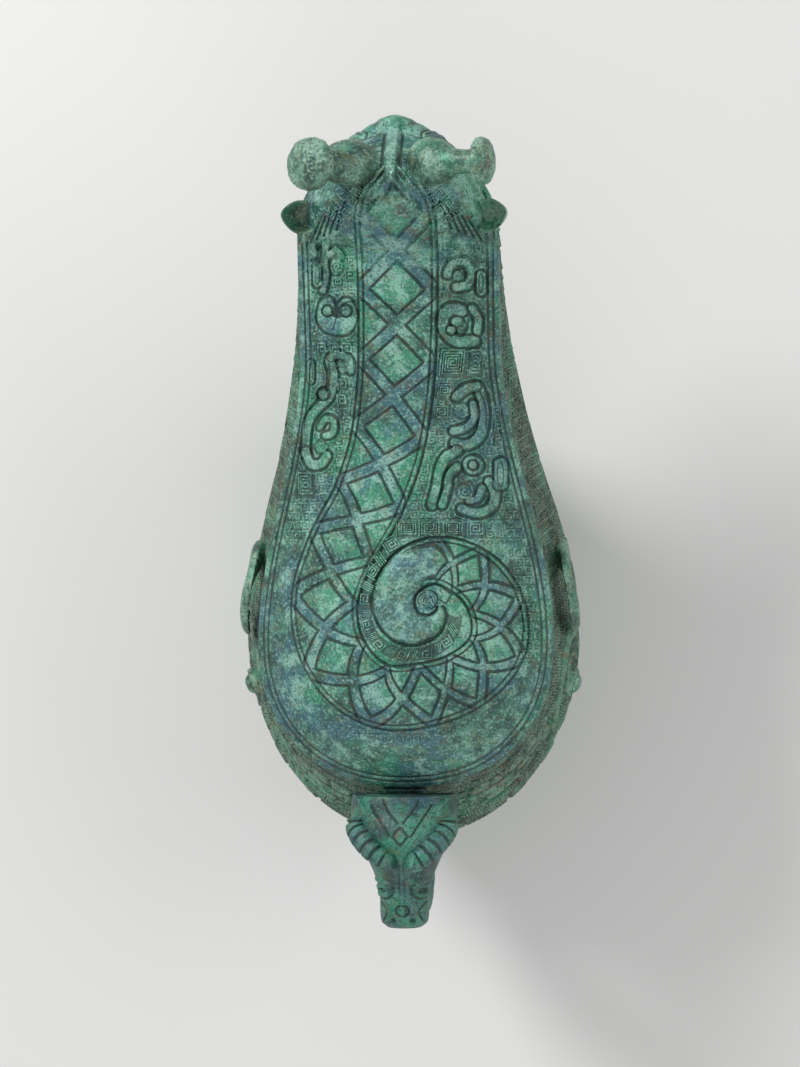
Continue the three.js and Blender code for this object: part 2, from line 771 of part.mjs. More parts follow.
// A bottle-shaped horn with a mushroom cap, leaning outwards from the crown.
function bottleHorn(side) {
  const length = HORN_LENGTHS[side];
  const sign = side === "left" ? -1 : 1;
  const capStart = length - HORN_CAP_THICKNESS;
  const rootDepth = HORN_STEM_RADIUS * 0.5;
  const profile = new THREE.SplineCurve([
    new THREE.Vector2(HORN_STEM_RADIUS * 0.96, -rootDepth),
    new THREE.Vector2(HORN_STEM_RADIUS, 0),
    new THREE.Vector2(HORN_STEM_RADIUS * 0.94, capStart * 0.35),
    new THREE.Vector2(HORN_NECK_RADIUS, capStart * 0.78),
    new THREE.Vector2(HORN_NECK_RADIUS * 1.08, capStart),
  ]).getSpacedPoints(9);
  const cap = [
    [0.86, 0.1],
    [1, 0.3],
    [1, 0.52],
    [0.86, 0.76],
    [0.5, 0.95],
    [0, 1],
  ].map(([out, up]) => new THREE.Vector2(HORN_CAP_RADIUS * out, capStart + HORN_CAP_THICKNESS * up));
  const horn = new THREE.LatheGeometry(
    [new THREE.Vector2(0, -rootDepth), ...profile, ...cap],
    HORN_SEGMENTS,
  );
  horn.rotateX(Math.PI / 2);
  horn.rotateY(sign * degToRad(HORN_LEANS[side]));
  const at = 1 - HORN_BACK / HEAD_LENGTH;
  const x = (HORN_SPACING / 2) * sign;
  horn.translate(x, muzzleY - HORN_BACK, dragonHeadTop(at, x) - 1);
  return geometryOf(solidOf(horn).subtract(headCutter));
}

// A hollowed leaf-shaped ear that stands out from the temple.
function dragonEar(sign) {
  const rings = [];
  const steps = 9;
  const sides = 12;
  const at = 0.3;
  const { width } = stationAt(HEAD_STATIONS, at);
  const rootX = HEAD_HALF_WIDTH * width * 0.85;
  const rootZ = dragonHeadTop(at, rootX) - EAR_THICKNESS;
  const root = new THREE.Vector3(rootX, lerp(headRootY, muzzleY, at), rootZ);
  const out = EAR_STAND.clone().normalize();
  const across = new THREE.Vector3(0, 1, 0);
  const face = new THREE.Vector3().crossVectors(out, across).normalize();
  for (let s = 0; s <= steps; s++) {
    const share = s / steps;
    const leaf = Math.sin(Math.PI * Math.pow(lerp(0.12, 0.98, share), 0.9));
    const half = EAR_HALF_WIDTH * Math.max(leaf, 0.06);
    const centre = root.clone().addScaledVector(out, EAR_LENGTH * share);
    const ring = [];
    for (let k = 0; k < sides; k++) {
      const angle = (2 * Math.PI * k) / sides;
      const sideways = Math.cos(angle);
      const cup = EAR_THICKNESS * 0.85 * (sideways ** 2 - 0.5) * Math.sin(Math.PI * share);
      const thick = (EAR_THICKNESS / 2) * Math.sin(angle);
      const point = centre.clone().addScaledVector(across, half * sideways);
      ring.push(point.addScaledVector(face, thick - cup));
    }
    rings.push(ring);
  }
  const ear = solidOf(mirrored(loft(rings), sign));
  return geometryOf(ear.subtract(headCutter).subtract(lidCutter));
}

function mirrored(geometry, sign) {
  return sign > 0 ? geometry : geometry.clone().scale(-1, 1, 1);
}

// A ball boss, flattened towards what carries it.
function ballBoss(centre, radius) {
  const ball = new THREE.SphereGeometry(radius, 16, 10);
  ball.translate(centre.x, centre.y, centre.z);
  return solidOf(ball);
}

function dragonEye(sign) {
  const at = 0.8;
  const { width, height } = stationAt(HEAD_STATIONS, at);
  const { across, up } = archAt(degToRad(EYE_LIFT));
  const x = HEAD_HALF_WIDTH * width * across - EYE_RADIUS * 0.4;
  const z = headSeatHeight + HEAD_HEIGHT * height * up;
  const centre = new THREE.Vector3(sign * x, lerp(headRootY, muzzleY, at), z);
  return geometryOf(ballBoss(centre, EYE_RADIUS).subtract(headCutter));
}

// Rear mask

// The hook of the mask's horn: way forwards and up as shares of its length, and reach off the wall.
const MASK_HORN_LINE = [
  [0.5, -0.33, -2],
  [0.4, -0.07, 0.7],
  [0.17, 0.13, 1],
  [-0.13, 0.2, 1],
  [-0.4, 0.07, 0.9],
  [-0.5, -0.2, 0.6],
  [-0.37, -0.33, 0.3],
];

function maskHorn(sign) {
  const hook = MASK_HORN_LINE.map(([back, up, out]) => {
    const [y, height] = [back, up].map((share) => share * MASK_HORN_LENGTH);
    return flankPoint(MASK_HORN_Y + y, MASK_HORN_HEIGHT + height, MASK_HORN_REACH * out);
  });
  const curve = new THREE.CatmullRomCurve3(hook);
  const radiusAt = (at) => MASK_HORN_RADIUS * lerp(1, 0.4, at * at);
  const horn = solidOf(mirrored(taperedBar(curve, radiusAt, 18, 10), sign));
  return geometryOf(horn.subtract(vesselCutter));
}

function maskEye(sign) {
  const centre = flankPoint(MASK_EYE_Y, MASK_EYE_HEIGHT, -MASK_EYE_RADIUS * 0.3);
  centre.x *= sign;
  return geometryOf(ballBoss(centre, MASK_EYE_RADIUS).subtract(vesselCutter));
}

// A notched plate that follows the middle line from under the spout down to the foot.
function spoutFlange() {
  const outline = new THREE.Shape();
  const teeth = 4 * SPOUT_FLANGE_TEETH;
  const [low, high] = [0.5, 1.86];
  const inner = [];
  const outer = [];
  for (let i = 0; i <= teeth; i++) {
    const level = lerp(low, high, i / teeth);
    const notched = i % 4 === 0;
    const depth = SPOUT_FLANGE_DEPTH * (notched && i && i < teeth ? SPOUT_FLANGE_NOTCH : 1);
    outer.push(vesselOffsetInPlane(level, depth));
    inner.push(vesselOffsetInPlane(level, -VESSEL_WALL * 0.5));
  }
  outline.setFromPoints([...outer, ...inner.reverse()]);
  const plate = new THREE.ExtrudeGeometry(outline, { depth: SPOUT_FLANGE_THICKNESS, bevelEnabled: false });
  plate.translate(0, 0, -SPOUT_FLANGE_THICKNESS / 2);
  plate.rotateY(Math.PI / 2);
  plate.rotateX(Math.PI / 2);
  return geometryOf(solidOf(plate).subtract(vesselCutter));
}

// The front middle line of the vessel in the plane x = 0, moved out along its normal.
function vesselOffsetInPlane(level, out) {
  const point = vesselPoint(0, level).addScaledVector(vesselNormal(0, level), out);
  return new THREE.Vector2(point.y, point.z);
}

// Handle

const loopTopZ = MOUTH_HEIGHT - LOOP_TOP_DROP;
const loopLowZ = FOOT_HEIGHT + LOOP_FOOT_RISE;
const loopMidY = BELLY_REAR_Y - FINGER_GAP - LOOP_THICKNESS / 2;
const oxRootY = MOUTH_REAR_Y - HANDLE_CLEARANCE;
const oxUndersideZ = loopTopZ + LOOP_THICKNESS / 2 - 1;

// Stations from the vessel out to the snout: way along, half-width and height as shares.
const OX_STATIONS = [
  [0, 0.97, 0.74],
  [0.15, 1, 0.92],
  [0.32, 0.88, 0.97],
  [0.48, 0.7, 0.84],
  [0.62, 0.55, 0.68],
  [0.76, 0.47, 0.58],
  [0.9, 0.46, 0.52],
  [0.97, 0.43, 0.44],
  [1, 0.34, 0.34],
];

function oxHeadLoft(grow) {
  const steps = 14;
  const rings = [];
  for (let s = 0; s <= steps; s++) {
    const at = s / steps;
    const { width, height } = stationAt(OX_STATIONS, at);
    const y = lerp(oxRootY + grow, snoutY - grow, at);
    const high = oxUndersideZ + OX_HEAD_HEIGHT * height + grow;
    rings.push(headRing(y, OX_HEAD_HALF_WIDTH * width + grow, oxUndersideZ - grow, high));
  }
  return solidOf(loft(rings));
}

function oxHeadTop(at, x) {
  const { width, height } = stationAt(OX_STATIONS, at);
  return oxUndersideZ + OX_HEAD_HEIGHT * height * archHeight(x / (OX_HEAD_HALF_WIDTH * width));
}

const oxCutter = oxHeadLoft(SEAT_GAP);

function loopCurve() {
  const rootInside = VESSEL_WALL * 0.5;
  const points = [
    [MOUTH_REAR_Y + rootInside, loopTopZ],
    [lerp(MOUTH_REAR_Y, loopMidY, 0.45), loopTopZ + 1],
    [lerp(MOUTH_REAR_Y, loopMidY, 0.82), loopTopZ - 2],
    [loopMidY, loopTopZ - LOOP_THICKNESS * 1.35],
    [loopMidY, lerp(loopLowZ, loopTopZ, 0.42)],
    [loopMidY + LOOP_LOWER_ARM * 0.17, loopLowZ + LOOP_THICKNESS],
    [loopMidY + LOOP_LOWER_ARM * 0.56, loopLowZ + 1],
    [loopMidY + LOOP_LOWER_ARM, loopLowZ - 1],
  ].map(([y, z]) => new THREE.Vector3(0, y, z));
  return new THREE.CatmullRomCurve3(points);
}

// The loop's flat strap, round-edged.
function handleLoopBar(grow) {
  const curve = loopCurve();
  const steps = 26;
  const sides = 12;
  const flattened = (v) => Math.sign(v) * Math.pow(Math.abs(v), 0.62);
  const rings = [];
  for (let s = 0; s <= steps; s++) {
    const centre = curve.getPointAt(s / steps);
    const tangent = curve.getTangentAt(s / steps);
    const inward = new THREE.Vector3(0, -tangent.z, tangent.y);
    const ring = [];
    for (let k = 0; k < sides; k++) {
      const angle = (2 * Math.PI * (k + 0.5)) / sides;
      const thick = (LOOP_THICKNESS / 2 + grow) * flattened(Math.sin(angle));
      const point = centre.clone().addScaledVector(inward, thick);
      point.x += (LOOP_WIDTH / 2 + grow) * flattened(Math.cos(angle));
      ring.push(point);
    }
    rings.push(ring);
  }
  return solidOf(loft(rings));
}

function oxHead() {
  return geometryOf(oxHeadLoft(0).subtract(vesselCutter));
}

function handleLoop() {
  return geometryOf(handleLoopBar(0).subtract(vesselCutter).subtract(oxCutter));
}

// Middle line of the ox's horn: way along the head, share across, and rise over the brow as a share of
// its radius.
const OX_HORN_LINE = [
  [0.12, 0.74, -0.5],
  [0.24, 0.8, 0],
  [0.37, 0.7, 0.3],
  [0.46, 0.45, 0.3],
  [0.49, 0.12, 0.1],
];

// A thick horn that curls over the ox's brow until it almost meets the other's.
function oxHorn(sign) {
  const points = OX_HORN_LINE.map(([at, across, up]) => {
    const x = OX_HEAD_HALF_WIDTH * across;
    const z = oxHeadTop(at, x) + OX_HORN_RADIUS * up;
    return new THREE.Vector3(x, lerp(oxRootY, snoutY, at), z);
  });
  const radiusAt = (at) => OX_HORN_RADIUS * lerp(0.8, 1, smoothstep(at, 0, 0.7));
  const bar = taperedBar(new THREE.CatmullRomCurve3(points), radiusAt, 12, 10);
  return geometryOf(solidOf(mirrored(bar, sign)).subtract(oxCutter));
}

// The hooked spur below the loop.
function handleSpur() {
  const at = 0.74;
  const root = loopCurve().getPointAt(at);
  const points = [
    [0, 0],
    [-0.5, -0.45],
    [-0.35, -0.8],
    [0.15, -1],
  ].map(([back, down]) => {
    return new THREE.Vector3(0, root.y - back * SPUR_LENGTH * 0.4, root.z + down * SPUR_LENGTH);
  });
  const bar = taperedBar(new THREE.CatmullRomCurve3(points), (s) => SPUR_RADIUS * lerp(1, 0.45, s), 9, 10);
  return geometryOf(solidOf(bar).subtract(handleLoopBar(SEAT_GAP)));
}

// Finishes

function bronze(colour, roughness) {
  return new THREE.MeshStandardMaterial({ color: colour, roughness, metalness: 0.35 });
}

const malachite = bronze(0x5d8a78, 0.72);
const paleGreen = bronze(0x7fa893, 0.78);
const earthGreen = bronze(0x5c6b55, 0.85);
const darkGreen = bronze(0x33504a, 0.68);

function part(name, geometry, material) {
  const flat = geometry.toNonIndexed();
  flat.computeVertexNormals();
  const mesh = new THREE.Mesh(flat, material);
  mesh.name = name;
  return mesh;
}

// Assembly

const vesselGroup = new THREE.Group();
vesselGroup.add(
  part("vessel_wall", vesselWall(), earthGreen),
  part("foot_ring", footRing(), earthGreen),
  part("spout_flange", spoutFlange(), earthGreen),
  part("mask_horn_left", maskHorn(-1), paleGreen),
  part("mask_horn_right", maskHorn(1), paleGreen),
  part("mask_eye_left", maskEye(-1), paleGreen),
  part("mask_eye_right", maskEye(1), paleGreen),
  part("handle_loop", handleLoop(), darkGreen),
  part("handle_head", oxHead(), darkGreen),
  part("handle_horn_left", oxHorn(-1), paleGreen),
  part("handle_horn_right", oxHorn(1), paleGreen),
  part("handle_spur", handleSpur(), darkGreen),
);

const lidGroup = new THREE.Group();
lidGroup.add(
  part("lid_shell", lidShellWithRelief(), malachite),
  part("lid_flange", lidFlange(), malachite),
  part("dragon_head", dragonHead(), malachite),
  part("bottle_horn_left", bottleHorn("left"), paleGreen),
  part("bottle_horn_right", bottleHorn("right"), paleGreen),
  part("dragon_ear_left", dragonEar(-1), paleGreen),
  part("dragon_ear_right", dragonEar(1), paleGreen),
  part("dragon_eye_left", dragonEye(-1), paleGreen),
  part("dragon_eye_right", dragonEye(1), paleGreen),
);

const vessel = new THREE.Group();
vessel.add(vesselGroup, lidGroup);
vessel.position.y = -(muzzleY + snoutY) / 2;

export default vessel;
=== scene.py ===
"""Dresses the covered bronze pouring vessel with the coiled dragon on its lid.

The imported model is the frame. The skins here follow the same formulas as the solids, at a much finer
step, and carry the cast relief, the corroded surface and the patina.
"""

import json
import logging
import math
from dataclasses import dataclass, field
from enum import Enum
from typing import Callable, Sequence

import bmesh
import bpy
import numpy as np
from mathutils import Matrix, Vector


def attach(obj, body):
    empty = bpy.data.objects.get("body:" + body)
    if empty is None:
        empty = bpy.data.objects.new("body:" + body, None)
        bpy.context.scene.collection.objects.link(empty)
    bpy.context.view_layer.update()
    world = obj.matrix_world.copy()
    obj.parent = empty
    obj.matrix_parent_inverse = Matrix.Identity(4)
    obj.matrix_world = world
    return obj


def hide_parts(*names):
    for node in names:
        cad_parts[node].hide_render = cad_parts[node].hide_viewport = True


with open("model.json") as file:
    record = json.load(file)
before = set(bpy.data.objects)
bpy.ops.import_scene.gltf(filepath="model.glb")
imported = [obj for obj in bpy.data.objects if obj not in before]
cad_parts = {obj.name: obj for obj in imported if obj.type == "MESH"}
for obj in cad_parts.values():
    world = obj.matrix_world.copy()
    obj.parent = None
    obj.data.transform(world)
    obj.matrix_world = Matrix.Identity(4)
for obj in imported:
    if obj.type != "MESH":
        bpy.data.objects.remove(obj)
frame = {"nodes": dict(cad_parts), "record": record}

LOG = logging.getLogger("vessel")
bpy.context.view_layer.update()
MM = 0.001
Array = np.ndarray
Pair = tuple[float, float]
Triple = tuple[float, float, float]
# How full the arches of both heads are; 2 would be an ellipse.
HEAD_POWER = 2.3
# Way from one rib of a small sign to the next, in millimetres.
RIB_PITCH = 2.05


class Body(Enum):
    """The two bodies that the real object comes apart into."""

    VESSEL = "vessel"
    LID = "lid"


class Slot(Enum):
    """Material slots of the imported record."""

    MALACHITE = "malachite_bronze"
    PALE = "pale_green_bronze"
    EARTHY = "earthy_bronze"
    DARK = "dark_green_bronze"


# Numbers


def lerp(a: Array | float, b: Array | float, share: Array | float) -> Array | float:
    """Value at a share of the way from a to b."""
    return a + (b - a) * share


def smoothstep(x: Array | float, low: float, high: float) -> Array | float:
    """Smooth rise from 0 at low to 1 at high."""
    t = np.clip((x - low) / (high - low), 0.0, 1.0)
    return t * t * (3.0 - 2.0 * t)


def unit(vectors: Array) -> Array:
    """Vectors of length 1 along the last axis."""
    return vectors / np.maximum(np.linalg.norm(vectors, axis=-1, keepdims=True), 1e-12)


def window(x: Array | float, rise: Pair, fall: Pair) -> Array | float:
    """1 between a soft rise and a soft fall, each given by its start and end, and 0 outside them."""
    return smoothstep(x, *rise) * (1.0 - smoothstep(x, *fall))


def lengths(points: Array) -> Array:
    """Way along a line of points, up to each of them."""
    return np.concatenate([[0.0], np.cumsum(np.linalg.norm(np.diff(points, axis=0), axis=1))])


def rounded(way: Array, last: float, reach: float) -> Array:
    """1 up to a place on a way, then a round fall to 0 over a reach."""
    return np.sqrt(np.clip(1.0 - ((way - last) / reach).clip(0, 1) ** 2, 0.0, 1.0))


def arch(turn: Array) -> tuple[Array, Array]:
    """Across, from 1 to -1, and height, from 0 to 1, of a head's full arch at turns from 0 to pi."""
    across = np.sign(np.cos(turn)) * np.abs(np.cos(turn)) ** (2 / HEAD_POWER)
    return across, np.sin(turn) ** (2 / HEAD_POWER)


def arch_height(share: Array | float) -> Array | float:
    """Height of that arch at shares of its half-width."""
    return (1 - share**HEAD_POWER) ** (1 / HEAD_POWER)


def full_turn(count: int) -> Array:
    """Directions all round at even steps."""
    return np.linspace(0.0, 2 * math.pi, count, endpoint=False)


def hand(side: float) -> str:
    """The side that a sign stands for: 1 is right, -1 left."""
    return "right" if side > 0 else "left"


def value_noise(points: Array, cell: float, seed: int) -> Array:
    """Smooth noise in space, from -1 to 1.

    Args:
        points: places, with x, y and z on the last axis.
        cell: size of the noise's lumps, in the points' unit.
        seed: which noise.

    Returns:
        One value for each place.
    """
    table = np.random.default_rng(seed).uniform(-1.0, 1.0, 4096)
    scaled = points / cell + 1000.0
    base = np.floor(scaled).astype(np.int64)
    part = scaled - base
    part = part * part * (3.0 - 2.0 * part)
    total = np.zeros(points.shape[:-1])
    for corner in range(8):
        step = np.array([corner & 1, corner >> 1 & 1, corner >> 2 & 1])
        cellid = base + step
        key = cellid[..., 0] * 73856093 ^ cellid[..., 1] * 19349663 ^ cellid[..., 2] * 83492791
        weight = np.prod(np.where(step == 1, part, 1.0 - part), axis=-1)
        total += weight * table[key & 4095]
    return total


class Stations:
    """Columns of values at stations, joined by smooth curves."""

    def __init__(self, rows: Sequence[Sequence[float]]) -> None:
        """Keeps the rows; the first column says where each stands."""
        self.rows = np.array(rows, float)

    def at(self, where: Array) -> Array:
        """Values between the stations.

        Args:
            where: places in the terms of the first column.

        Returns:
            The other columns' values, on a new last axis.
        """
        rows = self.rows
        last = len(rows) - 1
        hit = np.clip(np.searchsorted(rows[:, 0], where, side="right"), 1, last)
        before, start, end, after = (rows[np.clip(hit + k, 0, last)] for k in (-2, -1, 0, 1))
        share = np.clip((where - start[..., 0]) / (end[..., 0] - start[..., 0]), 0.0, 1.0)[..., None]
        leave, arrive = (end - before)[..., 1:] / 2.0, (after - start)[..., 1:] / 2.0
        s2, s3 = share**2, share**3
        first = (2 * s3 - 3 * s2 + 1) * start[..., 1:] + (s3 - 2 * s2 + share) * leave
        return first + (3 * s2 - 2 * s3) * end[..., 1:] + (s3 - s2) * arrive


# Forms, in millimetres, as the solids have them


class HalfOutline:
    """Right half of a plan outline, from its front tip to its rear tip, at even speed."""

    def __init__(self, half_width: Callable[[Array], Array], front: float, rear: float) -> None:
        """Measures the outline along its length.

        Args:
            half_width: gives half-widths at places along the outline.
            front: its front tip.
            rear: its rear tip.
        """
        turn = np.cos(np.linspace(0.0, math.pi, 1201))
        self.y = (front + rear) / 2 + (front - rear) / 2 * turn
        self.x = half_width(self.y)
        self.x[0] = self.x[-1] = 0.0
        steps = np.hypot(np.diff(self.x), np.diff(self.y))
        self.length = float(steps.sum())
        self.share = np.concatenate([[0.0], np.cumsum(steps)]) / self.length

    def at(self, share: Array) -> tuple[Array, Array]:
        """Points x and y at shares of the outline's length."""
        inside = np.clip(share, 0.0, 1.0)
        return np.interp(inside, self.share, self.x), np.interp(inside, self.share, self.y)


def egg_half_width(
    y: Array, half_width: Array | float, widest: float, front: float, rear: float, power: float = 2.0
) -> Array:
    """Half-width of an egg-shaped oval.

    Args:
        y: places along it.
        half_width: at its widest line.
        widest: where that line is.
        front: its front tip.
        rear: its rear tip.
        power: 2 for an ellipse, more for a squarer one.

    Returns:
        Half-widths at y.
    """
    reach = np.where(y > widest, front - widest, widest - rear)
    share = np.clip(np.abs(y - widest) / reach, 0.0, 1.0)
    return half_width * (1.0 - share**power) ** (1.0 / power)


@dataclass(frozen=True)
class VesselForm:
    """Sizes and surface of the vessel's wall."""

    wall: float = 3.6
    foot_height: float = 24.0
    foot_half_width: float = 44.0
    foot_half_length: float = 65.0
    foot_centre: float = -38.0
    widest: float = -43.0
    belly_height: float = 78.0
    belly_half_width: float = 67.5
    belly_front: float = 60.0
    belly_rear: float = -125.0
    mouth_height: float = 128.0
    spout_rise: float = 38.0
    mouth_half_width: float = 58.0
    mouth_rear: float = -101.0
    spout_half_width: float = 38.5
    spout_start: float = 72.0
    spout_round: float = 112.0
    spout_tip: float = 146.0
    lift_start: float = -20.0
    lift_end: float = 125.0
    power: float = 2.2
    throat_power: float = 1.7

    def mouth_width(self, y: Array) -> Array:
        """Half-width of the mouth's outline at y.

        Args:
            y: places along.

        Returns:
            Half-widths at y.
        """
        narrowing = smoothstep(y, self.widest, self.spout_start)
        straight = lerp(self.mouth_half_width, self.spout_half_width, narrowing)
        rear = egg_half_width(
            y, self.mouth_half_width, self.widest, self.spout_tip, self.mouth_rear, self.power
        )
        tip = egg_half_width(y, straight, self.spout_round, self.spout_tip, self.widest, self.power)
        return np.where(y < self.widest, rear, np.where(y < self.spout_round, straight, tip))

    def lip_height(self, y: Array) -> Array:
        """Height of the mouth's lip at y."""
        return self.mouth_height + self.spout_rise * smoothstep(y, self.lift_start, self.lift_end)

    def outlines(self) -> tuple[HalfOutline, HalfOutline, HalfOutline]:
        """Half outlines of the foot, the belly and the mouth.

        Returns:
            The three outlines.
        """
        tip, heel = self.foot_centre + self.foot_half_length, self.foot_centre - self.foot_half_length
        foot = HalfOutline(
            lambda y: egg_half_width(y, self.foot_half_width, self.foot_centre, tip, heel), tip, heel
        )
        belly = HalfOutline(
            lambda y: egg_half_width(
                y, self.belly_half_width, self.widest, self.belly_front, self.belly_rear
            ),
            self.belly_front,
            self.belly_rear,
        )
        return foot, belly, HalfOutline(self.mouth_width, self.spout_tip, self.mouth_rear)


FORM = VesselForm()
FOOT_LINE, BELLY_LINE, MOUTH_LINE = FORM.outlines()


def vessel_point(share: Array, level: Array) -> Array:
    """Points of the vessel's outside.

    Args:
        share: way round the right half, 0 at the front and 1 at the rear; past either, the left half.
        level: 0 at the foot, 1 at the belly's widest and 2 at the mouth.

    Returns:
        Points, with x, y and z on the last axis.
    """
    side = np.where((share < 0.0) | (share > 1.0), -1.0, 1.0)
    share = np.where(share < 0.0, -share, np.where(share > 1.0, 2.0 - share, share))
    foot, belly, mouth = (np.stack(line.at(share), -1) for line in (FOOT_LINE, BELLY_LINE, MOUTH_LINE))
    turn = (math.pi / 2) * np.clip(level, 0.0, 1.0)
    rise = np.clip(level - 1.0, 0.0, 1.0)
    sweep = lerp(
        rise**FORM.throat_power, rise * rise * (3.0 - 2.0 * rise), smoothstep(share, 0.1, 0.42)
    )
    low = foot + (belly - foot) * np.sin(turn)[..., None]
    high = belly + (mouth - belly) * sweep[..., None]
    plan = np.where((level <= 1.0)[..., None], low, high)
    low_z = lerp(FORM.belly_height, FORM.foot_height, np.cos(turn))
    high_z = lerp(FORM.belly_height, FORM.lip_height(mouth[..., 1]), rise)
    z = np.where(level <= 1.0, low_z, high_z)
    return np.stack([plan[..., 0] * side, plan[..., 1], z], -1)


@dataclass(frozen=True)
class LidForm:
    """Sizes and surface of the lid's vault."""

    gap: float = 0.3
    wall: float = 3.2
    lip: float = 5.0
    dome_crown: float = 31.0
    neck_crown: float = 21.0
    power: float = 2.2

    def edge_height(self, y: Array) -> Array:
        """Height of the lid's lower edge at y."""
        return FORM.lip_height(y) + self.gap

    def share(self, x: Array, y: Array) -> Array:
        """0 on the lid's middle line and 1 on its edge.

        Args:
            x: places across.
            y: places along.

        Returns:
            Shares at those places.
        """
        behind = y < FORM.widest
        half = np.where(behind, FORM.mouth_half_width, FORM.spout_half_width)
        reach = np.where(behind, FORM.widest - FORM.mouth_rear, FORM.spout_tip - FORM.spout_round)
        past = np.maximum(np.where(behind, FORM.widest - y, y - FORM.spout_round), 0.0)
        fan = ((np.abs(x) / half) ** FORM.power + (past / reach) ** FORM.power) ** (1 / FORM.power)
        straight = np.abs(x) / np.maximum(FORM.mouth_width(np.clip(y, FORM.widest, FORM.spout_round)), 1)
        return np.where(past > 0.0, fan, straight)

    def top(self, x: Array, y: Array) -> Array:
        """Height of the lid's plain upper side.

        Args:
            x: places across.
            y: places along.

        Returns:
            Heights in millimetres.
        """
        rise = smoothstep(-y, -FORM.spout_start, -FORM.lift_start)
        crown = lerp(self.neck_crown, self.dome_crown, rise)
        vault = 1.0 - np.minimum(self.share(x, y), 1.0) ** self.power
        return self.edge_height(y) + self.lip + crown * vault

    def lean(self, x: Array, y: Array) -> Array:
        """Upwards part of the plain upper side's normal.

        Args:
            x: places across.
            y: places along.

        Returns:
            1 where the lid is level, less where it slopes.
        """
        step = 0.2
        across = (self.top(x + step, y) - self.top(x - step, y)) / (2 * step)
        along = (self.top(x, y + step) - self.top(x, y - step)) / (2 * step)
        return 1.0 / np.sqrt(1.0 + across**2 + along**2)


LID = LidForm()


# Meshes


def linked(name: str, data: bpy.types.ID) -> bpy.types.Object:
    """A new object in the scene.

    Args:
        name: of the object.
        data: its mesh, lamp or camera.

    Returns:
        The object, at the origin.
    """
    made = bpy.data.objects.new(name, data)
    bpy.context.scene.collection.objects.link(made)
    return made


def mark(mesh: bpy.types.Mesh, label: str, values: Array) -> None:
    """Keeps one value for each point of a mesh, for the finishes to read."""
    mesh.attributes.new(label, "FLOAT", "POINT").data.foreach_set("value", values.astype(np.float32))


@dataclass
class Skin:
    """Points and faces of one closed piece, gathered sheet by sheet."""

    points: list[Array] = field(default_factory=list)
    normals: list[Array] = field(default_factory=list)
    hollow: list[Array] = field(default_factory=list)
    faces: list[tuple[Array, bool]] = field(default_factory=list)
    count: int = 0

    def add_points(self, points: Array, normals: Array | None = None, hollow: Array | None = None) -> int:
        """Adds points and gives the index of the first.

        Args:
            points: places in millimetres.
            normals: directions for smooth shading there, or none for the faces' own.
            hollow: depth mask there, from -1 in a groove to 1 on a crest, which the finish paints as shade
                and highlight; or that and a tone, from -1 for malachite to 1 for azurite, on a last axis.

        Returns:
            Index of the first point added.
        """
        flat = points.reshape(-1, 3)
        self.points.append(flat)
        self.normals.append(np.zeros_like(flat) if normals is None else normals.reshape(-1, 3))
        marks = np.zeros((len(flat), 2))
        if hollow is not None:
            marks[:, : hollow.size // len(flat)] = hollow.reshape(len(flat), -1)
        self.hollow.append(marks)
        start, self.count = self.count, self.count + len(flat)
        return start

    def add_sheet(
        self, points: Array, normals: Array, hollow: Array | None = None, wrap: bool = False
    ) -> Array:
        """Adds a sheet of quads over a grid of points.

        Args:
            points: a grid of places; its faces look along its first axis crossed with its second.
            normals: directions for smooth shading.
            hollow: depth mask.
            wrap: whether the first axis closes on itself.

        Returns:
            The grid of the points' indices.
        """
        start = self.add_points(points, normals, hollow)
        index = start + np.arange(points.shape[0] * points.shape[1]).reshape(points.shape[:2])
        rows = np.vstack([index, index[:1]]) if wrap else index
        quads = np.stack([rows[:-1, :-1], rows[1:, :-1], rows[1:, 1:], rows[:-1, 1:]], -1)
        self.faces.append((quads.reshape(-1, 4), True))
        return index

    def add_wall(self, index: Sequence[int]) -> None:
        """Closes an open side with one flat face through these points."""
        self.faces.append((np.array([index]), False))

    def build(self, name: str) -> bpy.types.Object:
        """Makes the mesh, with equal points joined and its shading directions set.

        Args:
            name: of the object and its mesh.

        Returns:
            The object, linked to the scene.
        """
        points, normals = np.vstack(self.points), np.vstack(self.normals)
        hollow = np.concatenate(self.hollow)
        _, first, back = np.unique(np.round(points, 4), axis=0, return_index=True, return_inverse=True)
        back = back.reshape(-1)
        joined = np.zeros((len(first), 3))
        np.add.at(joined, back, normals)
        loops, sizes, smooth = [], [], []
        for faces, is_smooth in self.faces:
            for kept in whole_faces(back[faces]):
                loops.append(kept.reshape(-1))
                sizes.append(np.full(len(kept), kept.shape[1]))
                smooth.append(np.full(len(kept), is_smooth))
        mesh = bpy.data.meshes.new(name)
        corners, counts, is_smooth = np.concatenate(loops), np.concatenate(sizes), np.concatenate(smooth)
        mesh.vertices.add(len(first))
        mesh.vertices.foreach_set("co", (points[first] * MM).astype(np.float32).ravel())
        mesh.loops.add(len(corners))
        mesh.loops.foreach_set("vertex_index", corners.astype(np.int32))
        mesh.polygons.add(len(counts))
        starts = np.concatenate([[0], np.cumsum(counts)[:-1]])
        mesh.polygons.foreach_set("loop_start", starts.astype(np.int32))
        mesh.polygons.foreach_set("loop_total", counts.astype(np.int32))
        mesh.polygons.foreach_set("use_smooth", is_smooth)
        mesh.update(calc_edges=True)
        mark(mesh, "hollow", hollow[first, 0])
        mark(mesh, "tone", hollow[first, 1])
        shaded = np.repeat(is_smooth, counts)
        corner_normals = unit(joined)[corners]
        flat = np.linalg.norm(joined[corners], axis=1) < 0.5
        corner_normals[flat | ~shaded] = 0.0
        mesh.normals_split_custom_set([tuple(n) for n in corner_normals])
        return linked(name, mesh)


